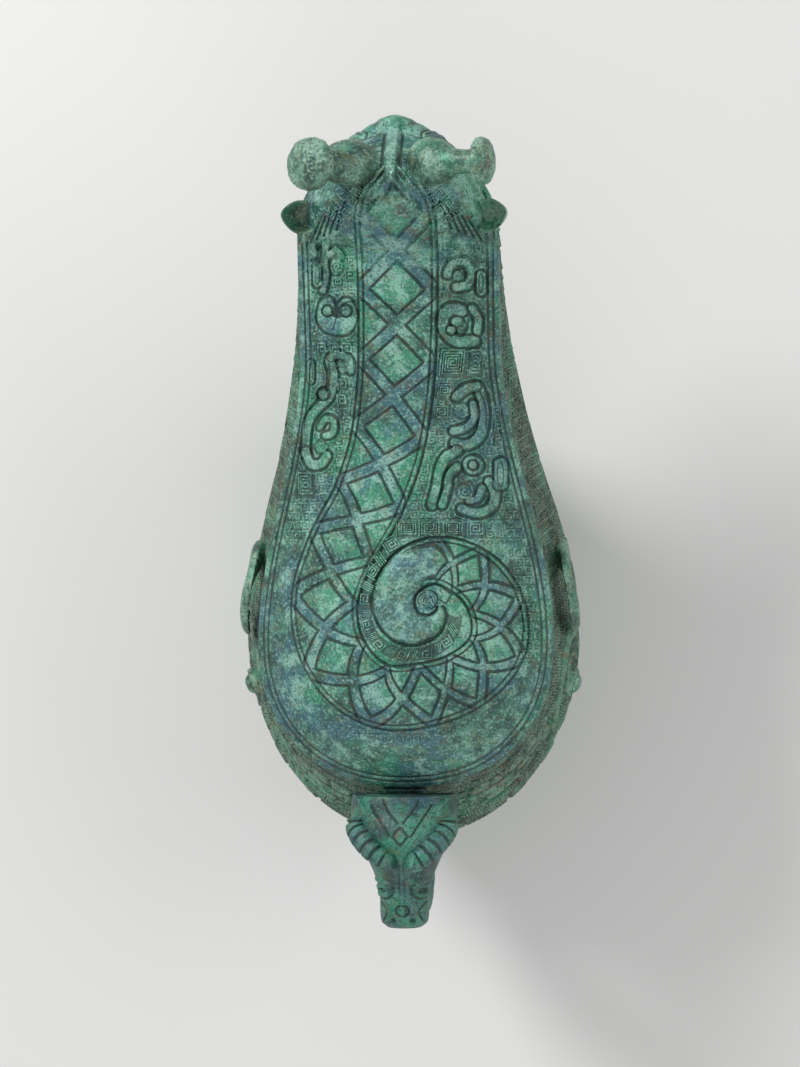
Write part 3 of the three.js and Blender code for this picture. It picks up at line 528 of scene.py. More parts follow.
def whole_faces(faces: Array) -> list[Array]:
    """Splits faces into whole ones and triangles left of quads with two equal corners.

    Args:
        faces: corner indices, one face a row.

    Returns:
        Arrays of faces with no corner twice.
    """
    if faces.shape[1] != 4:
        return [np.array([list(dict.fromkeys(face)) for face in faces])]
    same = faces == np.roll(faces, -1, axis=1)
    twice = same.sum(axis=1)
    kept = [faces[twice == 0]]
    for corner in range(4):
        hit = faces[(twice == 1) & same[:, corner]]
        kept.append(np.delete(hit, corner, axis=1))
    return [k for k in kept if len(k)]


def tube(
    name: str, rings: Array, normals: Array, hollow: Array, start: bool = False, end: bool = False
) -> bpy.types.Object:
    """A piece made of rings of points along a line.

    Args:
        name: of the piece.
        rings: places; the first axis goes round, the second along.
        normals: directions for smooth shading.
        hollow: depth mask.
        start: whether the first ring is closed by a flat face, or else shrinks to a point.
        end: the same for the last ring.

    Returns:
        The piece, linked to the scene.
    """
    skin = Skin()
    index = skin.add_sheet(rings, normals, hollow, wrap=True)
    if start:
        skin.add_wall(index[::-1, 0])
    if end:
        skin.add_wall(index[:, -1])
    return skin.build(name)


def grid_normals(points: Array, wrap: bool) -> Array:
    """Normals of a grid of points, along its first axis crossed with its second.

    Args:
        points: a grid of places.
        wrap: whether the first axis closes on itself.

    Returns:
        Unit vectors.
    """
    if wrap:
        along = np.roll(points, -1, axis=0) - np.roll(points, 1, axis=0)
    else:
        along = np.gradient(points, axis=0)
    return unit(np.cross(along, np.gradient(points, axis=1)))


@dataclass(frozen=True)
class Sight:
    """The photographer's place, used for the camera and to carry points of the picture to the lid."""

    place: Triple = (74.0, -3.0, 1365.0)
    aim: Triple = (0.0, -1.4, 165.0)
    scale: float = 0.3825
    roll: float = -0.25
    pixels: tuple[int, int] = (800, 1067)

    def axes(self) -> tuple[Array, Array, Array]:
        """Directions right, up and back of the camera.

        Returns:
            Three unit vectors.
        """
        back = unit(np.array(self.place) - np.array(self.aim))
        right = unit(np.cross([0.0, 1.0, 0.0], back))
        up = np.cross(back, right)
        turn = math.radians(self.roll)
        return (
            right * math.cos(turn) + up * math.sin(turn),
            up * math.cos(turn) - right * math.sin(turn),
            back,
        )

    def distance(self) -> float:
        """Length of the way from the camera to the point it looks at."""
        return float(np.linalg.norm(np.array(self.place) - np.array(self.aim)))

    def plan(self, points: Sequence[Pair]) -> Array:
        """Places on the lid seen at points of the picture.

        Args:
            points: pixels across and down.

        Returns:
            Places x and y in millimetres.
        """
        right, up, back = self.axes()
        picture = np.array(points, float)
        across = (picture[:, 0] - self.pixels[0] / 2) * self.scale
        above = (self.pixels[1] / 2 - picture[:, 1]) * self.scale
        ray = np.outer(across, right) + np.outer(above, up) - back * self.distance()
        eye = np.array(self.place)
        height = np.full(len(picture), self.aim[2])
        for _ in range(6):
            found = eye + ray * ((height - eye[2]) / ray[:, 2])[:, None]
            height = LID.top(found[:, 0], found[:, 1])
        return found[:, :2]


SIGHT = Sight()


# Cast motifs


class Cut(Enum):
    """Kinds of cast lines."""

    BAND = "raised band with a groove down its middle"
    PLATE = "raised plate"
    LINE = "groove"
    RIB = "narrow rib"


@dataclass(frozen=True)
class Stroke:
    """One cast line or plate in the plane of its ground."""

    points: Array
    half_width: float
    cut: Cut = Cut.BAND
    height: float = 0.6

    def distance(self, across: Array, along: Array) -> Array:
        """Distance to the stroke's middle line.

        Args:
            across: places across.
            along: places along.

        Returns:
            Distances in millimetres.
        """
        best = np.full(across.shape, np.inf)
        for (x0, y0), (x1, y1) in zip(self.points[:-1], self.points[1:]):
            dx, dy = x1 - x0, y1 - y0
            share = ((across - x0) * dx + (along - y0) * dy) / max(dx * dx + dy * dy, 1e-9)
            share = np.clip(share, 0.0, 1.0)
            best = np.minimum(best, np.hypot(across - x0 - share * dx, along - y0 - share * dy))
        return best

    def press(self, across: Array, along: Array, height: Array, mask: Array) -> None:
        """Adds the stroke to a ground's height and depth mask, in place.

        Args:
            across: places across.
            along: places along.
            height: of the ground.
            mask: of the ground's depth.
        """
        reach = self.half_width + 1.6
        low, high = self.points.min(axis=0) - reach, self.points.max(axis=0) + reach
        near = (across > low[0]) & (across < high[0]) & (along > low[1]) & (along < high[1])
        if not near.any():
            return
        off = self.distance(across[near], along[near])
        h, m = height[near], mask[near]
        # The mask rises on raised strokes and falls in their rims and grooves; the finish paints it as
        # highlight and shade.
        if self.cut in (Cut.BAND, Cut.PLATE, Cut.RIB):
            soft = min(0.35, self.half_width * 0.5)
            on = 1.0 - smoothstep(off, self.half_width - soft, self.half_width + 0.2)
            h = lerp(h, np.maximum(h, self.height), on)
            m = lerp(m, 0.5, on)
            rim = groove(off - self.half_width - 0.55, 0.6) * (self.cut is not Cut.RIB)
            h, m = h - 0.35 * rim, np.minimum(m, 0.3 - 1.1 * rim)
        if self.cut is Cut.BAND:
            middle = 1.0 - smoothstep(off, 0.12, 0.6)
            h, m = h - 0.4 * middle, m - 1.1 * middle
        if self.cut is Cut.LINE:
            on = 1.0 - smoothstep(off, self.half_width * 0.3, self.half_width)
            h, m = h - self.height * on, m - 1.2 * on
        height[near], mask[near] = h, m


def clearance(strokes: Sequence[Stroke], across: Array, along: Array, reach: float) -> Array:
    """Distance to the nearest edge of any stroke, up to a reach.

    Args:
        strokes: the strokes; grooves don't count.
        across: places across.
        along: places along.
        reach: largest distance given.

    Returns:
        Distances in millimetres, below 0 on a stroke.
    """
    best = np.full(across.shape, reach)
    for stroke in strokes:
        if stroke.cut is Cut.LINE:
            continue
        wide = stroke.half_width + reach
        low, high = stroke.points.min(axis=0) - wide, stroke.points.max(axis=0) + wide
        near = (across > low[0]) & (across < high[0]) & (along > low[1]) & (along < high[1])
        if near.any():
            off = stroke.distance(across[near], along[near]) - stroke.half_width
            best[near] = np.minimum(best[near], off)
    return best


def groove(distance: Array, width: float) -> Array:
    """1 on a line and 0 from a groove's half-width off it, given the distance to the line."""
    return 1.0 - smoothstep(np.abs(distance), width * 0.25, width)


def curve(points: Sequence[Pair], steps: int = 5) -> Array:
    """A smooth curve through points, with this many steps for each leg."""
    rows = np.column_stack([np.arange(len(points)), np.array(points, float)])
    return Stations(rows).at(np.linspace(0, len(points) - 1, (len(points) - 1) * steps + 1))


def ring(centre: Pair, wide: float, high: float, steps: int = 20) -> Array:
    """Points of an oval."""
    turn = np.linspace(0.0, 2 * math.pi, steps + 1)
    return np.stack([centre[0] + wide * np.cos(turn), centre[1] + high * np.sin(turn)], -1)


def whorl(centre: Pair, reach: float, turns: float, start: float = 0.0) -> Array:
    """Points of a spiral that winds in to its centre.

    Args:
        centre: of the spiral.
        reach: radius at its outer end.
        turns: how often it winds.
        start: direction of its outer end, in degrees.

    Returns:
        Points from the outer end to the inner one.
    """
    share = np.linspace(0.0, 1.0, int(14 * turns) + 2)
    turn = math.radians(start) + share * turns * 2 * math.pi
    radius = reach * (1.0 - 0.88 * share)
    return np.stack([centre[0] + radius * np.cos(turn), centre[1] + radius * np.sin(turn)], -1)


@dataclass(frozen=True)
class FlankMotifs:
    """The two dragons and their hooks on each side of the lid's neck, as points of the picture."""

    bodies: tuple[tuple[float, tuple[Pair, ...]], ...] = (
        (4.2, ((314, 255), (313, 246), (318, 240), (327, 245))),
        (3.6, ((326, 247), (325, 262), (326, 276), (323, 290))),
        (3.4, ((330, 255), (337, 251), (342, 257))),
        (8.2, ((327, 306), (325, 317), (331, 325), (344, 326), (349, 316), (346, 307))),
        (
            4.8,
            ((330, 360), (333, 373), (333, 386), (328, 398), (317, 409), (309, 421), (306, 438), (306, 454)),
        ),
        (4.6, ((306, 452), (311, 464), (321, 464), (327, 456))),
        (3.4, ((331, 357), (341, 355), (350, 361), (351, 371))),
        (3.1, ((320, 427), (326, 419), (334, 422), (333, 433), (325, 436))),
        (5.4, ((474, 341), (456, 341), (445, 331), (443, 318), (450, 309), (461, 310))),
        (3.6, ((472, 308), (478, 318), (477, 331))),
        (4.8, ((478, 387), (483, 404), (483, 424), (478, 438), (466, 445), (455, 443))),
        (4.2, ((476, 386), (465, 389), (456, 397))),
        (3.6, ((473, 404), (474, 417), (467, 427), (453, 431))),
        (4.6, ((457, 451), (446, 457), (440, 470), (437, 487), (432, 505))),
        (3.9, ((457, 467), (449, 476), (447, 490), (442, 505))),
        (4.6, ((489, 482), (495, 493), (491, 507), (478, 513), (462, 509))),
        (3.3, ((482, 488), (478, 498), (469, 501))),
        (9.2, ((472.5, 465), (473.5, 465))),
        (4.0, ((447, 274), (452, 264), (464, 262), (471, 271), (468, 284), (456, 287))),
    )
    lines: tuple[tuple[Pair, ...], ...] = (
        ((357, 301), (346, 303), (338, 309), (336, 320), (333, 329)),
        ((329, 364), (330, 378), (327, 392), (318, 402), (308, 412), (302, 428), (302, 450)),
        ((463, 318), (467, 327), (462, 336)),
        ((480, 392), (486, 408), (486, 428)),
        ((452, 462), (444, 474), (441, 488), (437, 503)),
        ((318, 249), (322, 246)),
    )
    leaves: tuple[tuple[float, float, float, float], ...] = (
        (317.5, 275, 4.4, 12.5),
        (311, 372, 3.4, 13.0),
        (500.5, 474, 6.2, 16.0),
        (481, 283, 4.4, 12.5),
    )
    spirals: tuple[tuple[float, float, float, float], ...] = (
        (337.5, 267, 7.0, 90),
        (343, 368, 5.6, 200),
        (321, 447, 5.4, 0),
        (462, 410, 7.0, 40),
        (465, 491, 8.2, 300),
        (457, 322, 5.0, 120),
        (458, 275, 5.0, 20),
    )
    eyes: tuple[Triple, ...] = (
        (323.5, 394, 4.8),
        (327.5, 311, 4.0),
        (346, 311, 4.4),
        (473, 465, 3.6),
        (451, 330, 3.6),
    )

    tail_whorl: Pair = (429, 601)
    tail_hook: tuple[Pair, ...] = ((443, 588), (452, 594), (446, 604), (440, 600))

    def strokes(self, sight: Sight) -> list[Stroke]:
        """All motifs in the lid's plan, in millimetres.

        Args:
            sight: from where the picture was taken.

        Returns:
            The strokes, plates before the grooves on them.
        """
        scale = sight.scale
        made = []
        for width, points in self.bodies:
            made.append(Stroke(sight.plan(curve(points)), width * scale, Cut.PLATE, 0.3))
        for points in self.lines:
            made.append(Stroke(sight.plan(curve(points)), 0.42, Cut.LINE, 0.4))
        for x, y, wide, high in self.leaves:
            inner = np.array([(x, y - high * 0.62), (x, y + high * 0.62)])
            made.append(Stroke(sight.plan(inner), wide * scale, Cut.PLATE, 0.34))
            made.append(Stroke(sight.plan(ring((x, y), wide * 0.5, high * 0.8)), 0.34, Cut.LINE, 0.3))
        for x, y, reach, start in self.spirals:
            made.append(Stroke(sight.plan(whorl((x, y), reach, 2.1, start)), 0.4, Cut.RIB, 0.2))
        for x, y, reach in self.eyes:
            made.append(Stroke(sight.plan([(x - 0.1, y), (x + 0.1, y)]), reach * scale, Cut.PLATE, 0.75))
            made.append(Stroke(sight.plan(ring((x, y), reach * 1.45, reach * 1.45)), 0.36, Cut.LINE, 0.35))
        made.append(Stroke(sight.plan(whorl(self.tail_whorl, 11.5, 1.7, 200.0)), 0.42, Cut.LINE, 0.45))
        made.append(Stroke(sight.plan(self.tail_hook), 0.42, Cut.LINE, 0.4))
        return made


# Strip of signs between the coiled body and the tail: degrees, inner and outer radius.
STRIP = Stations(
    [
        (100, 25.4, 33.0), (120, 22.4, 31.2), (150, 20.3, 28.2), (180, 20.1, 27.2), (206, 20.6, 27.2),
        (223, 19.4, 26.6), (255, 16.2, 22.8), (293, 12.8, 19.6), (330, 8.2, 16.4), (350, 6.4, 14.6),
    ]
)
# Signs that stand alone: middle, width and height in the picture.
LONE_SIGNS = (
    (350, 262, 10, 12), (350, 276, 10, 12), (337, 282, 11, 11), (322, 349, 11.5, 13), (334.5, 349, 11.5, 13),
    (347, 349, 11.5, 13), (342, 385, 11.5, 12.5), (341.5, 401, 11.5, 14), (305, 485, 20, 26),
    (452, 363, 27, 28), (475, 363, 12, 27), (444, 391, 14, 14), (441, 413, 14, 14), (406, 528, 21, 17),
    (429, 528, 21, 17), (453, 528, 21, 17), (475, 529, 19, 17), (497, 412, 10, 12), (498, 426, 10, 12),
    (499, 440, 10, 12),
)
SIGN_BOXES = [
    (*SIGHT.plan([(x, y)])[0], (wide + 1.5) * SIGHT.scale, (high + 1.5) * SIGHT.scale)
    for x, y, wide, high in LONE_SIGNS
]
LID_STROKES = FlankMotifs().strokes(SIGHT)


# The dragon's body on the lid


@dataclass
class DragonLine:
    """Middle line of the dragon's body in plan, from the nape down the neck and round the dome."""

    half_width: float = 14.5
    centre: Pair = (10.0, -29.0)
    radius: float = 40.0
    nape: float = 97.7
    neck: Stations = Stations(
        [
            (0.0, 0.02), (0.16, 0.01), (0.35, -0.03), (0.53, -0.13),
            (0.69, -0.32), (0.83, -0.58), (0.98, -0.75),
        ]
    )
    coil: Stations = Stations(
        [
            (176, 1, 0.9), (209, 1.02, 0.88), (241, 0.99, 0.84), (269, 0.86, 0.82), (296, 0.81, 0.77),
            (328, 0.78, 0.72), (361, 0.65, 0.69), (401, 0.51, 0.66), (437, 0.44, 0.59), (470, 0.385, 0.55),
            (510, 0.34, 0.53),
        ]
    )
    tail: Stations = Stations(
        [
            (437, 0.43, 0.59), (480, 0.365, 0.54), (538, 0.32, 0.52), (586, 0.28, 0.45),
            (615, 0.23, 0.34), (660, 0.18, 0.2), (691, 0.15, 0.1), (716, 0.13, 0.04),
        ]
    )
    # Middles of the diamonds, from the head to the tail.
    diamonds: tuple[Pair, ...] = (
        (0.8, 119.0), (0.5, 90.5), (-1.2, 64.0), (-5.2, 38.0), (-13.0, 15.0), (-23.6, -5.0),
        (-29.8, -26.5), (-25.8, -49.5), (-9.0, -64.5), (9.4, -64.0), (24.5, -58.5), (36.6, -46.0),
        (36.3, -28.8), (25.6, -16.0), (13.5, -12.0),
    )

    def __post_init__(self) -> None:
        """Lays out the line and the phase of the diamonds along it."""
        way = np.linspace(-0.3, 0.96, 170)
        x = self.neck.at(np.maximum(way, 0.0))[:, 0] * self.radius
        y = lerp(self.nape, self.centre[1], way)
        half = self.half_width * lerp(1.0, 0.9, np.clip(way, 0, 1))
        half = half * lerp(1.0, 0.16, smoothstep(y, 116.0, 133.0))
        coil = self.spiral(self.coil, 460)
        neck = np.stack([x, y, half], -1)
        self.band = np.vstack([neck, coil])
        self.tail_line = self.spiral(self.tail, 260)
        far = np.linalg.norm(np.array(self.diamonds)[:, None, :] - self.band[None, :, :2], axis=2)
        self.arcs = lengths(self.band[:, :2])[far.argmin(axis=1)]

    def polar(self, x: Array, y: Array) -> tuple[Array, Array]:
        """Distances from the coil's centre and directions from it, in degrees from 0 to 360."""
        dx, dy = x - self.centre[0], y - self.centre[1]
        return np.hypot(dx, dy), np.degrees(np.arctan2(dy, dx)) % 360.0

    def spiral(self, stations: Stations, count: int) -> Array:
        """Points of a way round the coil's centre: x, y and half-width.

        Args:
            stations: degrees, with radius and half-width as shares.
            count: how many points.

        Returns:
            Rows of x, y and half-width.
        """
        angle = np.linspace(stations.rows[0, 0], stations.rows[-1, 0], count)
        radius, half = stations.at(angle).T
        turn = np.radians(angle)
        x = self.centre[0] + radius * self.radius * np.cos(turn)
        y = self.centre[1] + radius * self.radius * np.sin(turn)
        return np.stack([x, y, half * self.half_width], -1)

    @staticmethod
    def nearest(line: Array, x: Array, y: Array) -> tuple[Array, Array, Array]:
        """Where points lie against a line.

        Args:
            line: its points and half-widths.
            x: places across.
            y: places along.

        Returns:
            Way along the line, way across as a share of the half-width (9 past its ends), half-width.
        """
        flat_x, flat_y = x.ravel(), y.ravel()
        hit = np.zeros(flat_x.size, int)
        for start in range(0, flat_x.size, 20000):
            part = slice(start, start + 20000)
            dx = flat_x[part, None] - line[None, :, 0]
            dy = flat_y[part, None] - line[None, :, 1]
            hit[part] = (np.hypot(dx, dy) / line[None, :, 2]).argmin(axis=1)
        tangent = unit(np.gradient(line[:, :2], axis=0))[hit]
        dx, dy = flat_x - line[hit, 0], flat_y - line[hit, 1]
        steps = lengths(line[:, :2])
        ahead = dx * tangent[:, 0] + dy * tangent[:, 1]
        along = steps[hit] + np.clip(ahead, -1.5, 1.5)
        half = np.interp(along, steps, line[:, 2])
        side = dx * tangent[:, 1] - dy * tangent[:, 0]
        across = np.sign(side) * np.hypot(side, np.maximum(np.abs(ahead) - 1.5, 0.0)) / half
        past = (hit == 0) & (ahead < 0) | (hit == len(line) - 1) & (ahead > 0)
        across = np.where(past, 9.0, across)
        shape = x.shape
        return along.reshape(shape), across.reshape(shape), half.reshape(shape)


DRAGON = DragonLine()


def rim_distance(x: Array, y: Array) -> Array:
    """Way in from the lid's edge, in millimetres."""
    reach = np.where(y < FORM.widest, FORM.mouth_half_width, FORM.mouth_width(np.clip(y, -43, 112)))
    return (1.0 - LID.share(x, y)) * reach


def strip_bed(x: Array, y: Array) -> Array:
    """1 where the narrow band beside the tail is sunk, 0 elsewhere.

    Args:
        x: places across.
        y: places along.

    Returns:
        Shares from 0 to 1.
    """
    radius, angle = DRAGON.polar(x, y)
    inner, outer = np.moveaxis(STRIP.at(angle), -1, 0)
    on = window(radius, (inner + 0.8, inner + 1.1), (outer - 1.1, outer - 0.8))
    return on * window(angle, (112.0, 118.0), (336.0, 342.0))


def ground_bed(x: Array, y: Array) -> Array:
    """1 where the lid's ground is sunk for small signs, 0 elsewhere.

    Args:
        x: places across.
        y: places along.

    Returns:
        Shares from 0 to 1.
    """
    rim = rim_distance(x, y)
    _, across, half = DRAGON.nearest(DRAGON.band, x, y)
    beyond = (np.abs(across) - 1.0) * half
    inside_rim, head_end = (5.4, 5.8), (106.0, 112.0)
    left = (x < 0.0) * window(y, (-9.0, -1.0), head_end)
    right = (x > 0.0) * window(y, (3.2, 3.6), head_end)
    row = (x > 0.0) * window(y, (-5.9, -5.4), (2.2, 2.6))
    beside = smoothstep(beyond, 1.7, 2.1) * smoothstep(rim, *inside_rim)
    bed = beside * np.maximum.reduce([left, right, row])
    side = (x > 0.0) * window(y, (-52.0, -51.0), (-8.0, -7.0)) * window(rim, inside_rim, (12.6, 13.0))
    radius, angle = DRAGON.polar(x, y)
    below = window(beyond, (2.0, 2.3), (5.2, 5.5)) * window(angle, (228.0, 234.0), (292.0, 298.0))
    return np.maximum.reduce([bed, side, 0.8 * below * (radius > 36.0), strip_bed(x, y)])


def thunder_ground(x: Array, y: Array, cell: float = 3.6, turns: float = 1.5) -> Array:
    """1 on the ribs of square spirals that stand in rows, 0 between them.

    Args:
        x: places across.
        y: places along.
        cell: size of one spiral.
        turns: how often each winds.

    Returns:
        Shares of the ribs' height.
    """
    row, column = np.floor(y / cell), np.floor(x / cell)
    u, v = x / cell - column - 0.5, y / cell - row - 0.5
    u = np.where((row + column) % 2 > 0, -u, u)
    winding = np.maximum(np.abs(u), np.abs(v)) * 2.0 * turns + np.arctan2(v, u) / (2 * math.pi)
    return groove((winding % 1.0 - 0.5) * cell / (2 * turns), 0.46)


def lid_relief(x: Array, y: Array) -> tuple[Array, Array]:
    """Cast relief of the lid's upper side.

    Args:
        x: places across.
        y: places along.

    Returns:
        Height over the plain vault in millimetres, and on a last axis a mask from -1 in grooves to 1 on
        crests and a tone from -1 for malachite to 1 for azurite.
    """
    height = np.zeros_like(x)
    mask = np.zeros_like(x)
    along, across, half = DRAGON.nearest(DRAGON.band, x, y)
    off = np.abs(across)
    on_line = off < 8.0
    band = 1.0 - smoothstep((off - 1.0) * half, -0.35, 0.35)
    phase = np.interp(along, DRAGON.arcs, np.arange(len(DRAGON.arcs)))
    phase = np.where(along < DRAGON.arcs[0], (along - DRAGON.arcs[0]) / 27.0, phase)
    pitch = np.interp(phase, np.arange(len(DRAGON.arcs)) + 0.5, np.append(np.diff(DRAGON.arcs), 12.0))
    part = phase - np.round(phase)
    lattice = np.abs(part) * 2.0 + off
    slope = np.hypot(2.0 / pitch, 1.0 / half)
    strips = window(lattice, (0.68, 0.76), (1.18, 1.26))
    tone = band * (1.7 * strips - 0.8)
    pillow = np.clip(1.0 - lattice / 0.72, 0.0, 1.0)
    corner = np.clip((lattice - 1.22) / 0.78, 0.0, 1.0)
    lines = np.maximum(groove((lattice - 0.72) / slope, 0.75), groove((lattice - 1.22) / slope, 0.75))
    side = np.maximum(groove((off - 1.0) * half + 1.5, 0.55), groove((off - 1.0) * half - 0.5, 0.6))
    height += band * (0.9 + 0.5 * np.sqrt(pillow) + 0.25 * corner - 0.65 * lines)
    height -= 0.6 * side * on_line
    # The band's crests take a painted highlight and its grooves painted shade.
    mask += band * (0.35 * np.sqrt(pillow) + 0.2 * corner) - 0.9 * np.maximum(lines * band, side * on_line)

    along, across, half = DRAGON.nearest(DRAGON.tail_line, x, y)
    off = np.abs(across)
    bulge = np.sqrt(np.clip(1.0 - off**2.2, 0.0, 1.0))
    start = smoothstep(along, 1.0, 16.0)
    on_tail = off < 1.0
    height = np.where(on_tail, lerp(height, 2.9 * bulge, start), height)
    mask = np.where(on_tail, lerp(mask, 0.45 * bulge, start), mask)
    tone = np.where(on_tail, 0.35, tone)
    edge = groove((off - 1.0) * half - 0.6, 0.8) * (off < 8.0) * (off > 1.0)
    height -= 0.8 * edge * start
    mask -= edge * start

    bed = ground_bed(x, y)
    # The sunk ground takes painted shade and the ribs of its signs a painted highlight.
    height -= 0.42 * bed
    mask -= 0.5 * bed
    clear = clearance(LID_STROKES, x, y, 2.8)
    echo = groove(clear - 1.5, 0.5) * bed
    rows = thunder_ground(x, y) * bed * smoothstep(clear, 2.1, 2.5)
    for x0, y0, wide, high in SIGN_BOXES:
        near = (np.abs(x - x0) < wide / 2) & (np.abs(y - y0) < high / 2)
        rows[near] = 0.0
    ribs = np.maximum(echo, rows * (1.0 - strip_bed(x, y)))
    height += 0.42 * ribs
    mask += 0.95 * ribs
    tone = tone - 0.3 * bed
    for stroke in LID_STROKES:
        stroke.press(x, y, height, mask)
    rim = rim_distance(x, y)
    lines = np.maximum(groove(rim - 2.4, 0.6), groove(rim - 4.4, 0.6))
    height -= 0.5 * lines
    mask -= 0.8 * lines
    return height, np.stack([np.clip(mask, -1.0, 1.0), tone], -1)


# Finishes


def node_group(name: str, inputs: dict[str, float | tuple], outputs: dict[str, str]) -> bpy.types.NodeTree:
    """A shader group with named sockets.

    Args:
        name: of the group.
        inputs: their names and usual values, a number or a colour.
        outputs: their names and socket types.

    Returns:
        The group's tree, with its input and output nodes.
    """
    tree = bpy.data.node_groups.new(name, "ShaderNodeTree")
    for label, value in inputs.items():
        kind = "NodeSocketColor" if isinstance(value, tuple) else "NodeSocketFloat"
        socket = tree.interface.new_socket(label, in_out="INPUT", socket_type=kind)
        socket.default_value = (*value, 1.0) if isinstance(value, tuple) else value
    for label, kind in outputs.items():
        tree.interface.new_socket(label, in_out="OUTPUT", socket_type=kind)
    tree.nodes.new("NodeGroupInput").name = "In"
    tree.nodes.new("NodeGroupOutput").name = "Out"
    return tree


@dataclass
class Wiring:
    """Short calls that place and join nodes in one tree."""

    tree: bpy.types.NodeTree

    def node(self, kind: str, **settings: object) -> bpy.types.Node:
        """A node of a kind, with properties set.

        Args:
            kind: Blender's name for it.
            settings: properties and their values.

        Returns:
            The node.
        """
        made = self.tree.nodes.new(kind)
        for name, value in settings.items():
            setattr(made, name, value)
        return made

    def join(self, source: object, target: object) -> None:
        """Feeds a socket or a plain value into a socket.

        Args:
            source: a socket, a number or a colour.
            target: the socket that takes it.
        """
        if isinstance(source, bpy.types.NodeSocket):
            self.tree.links.new(source, target)
        elif isinstance(source, tuple):
            target.default_value = (*source, 1.0) if len(target.default_value) == 4 else source
        else:
            target.default_value = source

    def noise(self, vector: object, scale: object, detail: float = 5.0, rough: float = 0.6) -> object:
        """Noise from about 0.3 to 0.7 at places.

        Args:
            vector: places.
            scale: lumps for each metre.
            detail: how many finer layers.
            rough: how strong the finer layers are.

        Returns:
            The noise's socket.
        """
        made = self.node("ShaderNodeTexNoise", noise_dimensions="3D")
        self.join(vector, made.inputs["Vector"])
        self.join(scale, made.inputs["Scale"])
        self.join(detail, made.inputs["Detail"])
        self.join(rough, made.inputs["Roughness"])
        return made.outputs["Fac"]

    def ramp(self, value: object, low: float, high: float) -> object:
        """0 below low to 1 above high.

        Args:
            value: what is measured.
            low: where the rise starts.
            high: where it ends.

        Returns:
            The share's socket.
        """
        made = self.node("ShaderNodeMapRange", interpolation_type="SMOOTHSTEP")
        self.join(value, made.inputs["Value"])
        self.join(low, made.inputs["From Min"])
        self.join(high, made.inputs["From Max"])
        return made.outputs["Result"]

    def math(self, operation: str, a: object, b: object = 0.0) -> object:
        """A sum, product or the like of two values.

        Args:
            operation: Blender's name for it.
            a: first value.
            b: second value.

        Returns:
            The result's socket.
        """
        made = self.node("ShaderNodeMath", operation=operation)
        self.join(a, made.inputs[0])
        self.join(b, made.inputs[1])
        return made.outputs[0]

    def times(self, a: object, b: object) -> object:
        """The product of two values."""
        return self.math("MULTIPLY", a, b)

    def mix(self, share: object, a: object, b: object) -> object:
        """Colour between a and b.

        Args:
            share: 0 for a, 1 for b.
            a: first colour.
            b: second colour.

        Returns:
            The colour's socket.
        """
        made = self.node("ShaderNodeMix", data_type="RGBA", blend_type="MIX")
        self.join(share, made.inputs[0])
        self.join(a, made.inputs[6])
        self.join(b, made.inputs[7])
        return made.outputs[2]

    def layer(
        self, under: object, value: object, low: float, high: float, amount: object, paint: object
    ) -> object:
        """Colour with a paint over it where a value rises.

        Args:
            under: the colour below.
            value: what is measured.
            low: where the paint starts.
            high: where it is as strong as it gets.
            amount: how strong that is.
            paint: its colour.

        Returns:
            The colour's socket.
        """
        return self.mix(self.times(self.ramp(value, low, high), amount), under, paint)

    def shifted(self, vector: object, offset: Triple) -> object:
        """Places moved by a fixed offset, so that two noises don't match.

        Args:
            vector: places.
            offset: how far they move.

        Returns:
            The moved places' socket.
        """
        made = self.node("ShaderNodeVectorMath", operation="ADD")
        self.join(vector, made.inputs[0])
        made.inputs[1].default_value = offset
        return made.outputs[0]


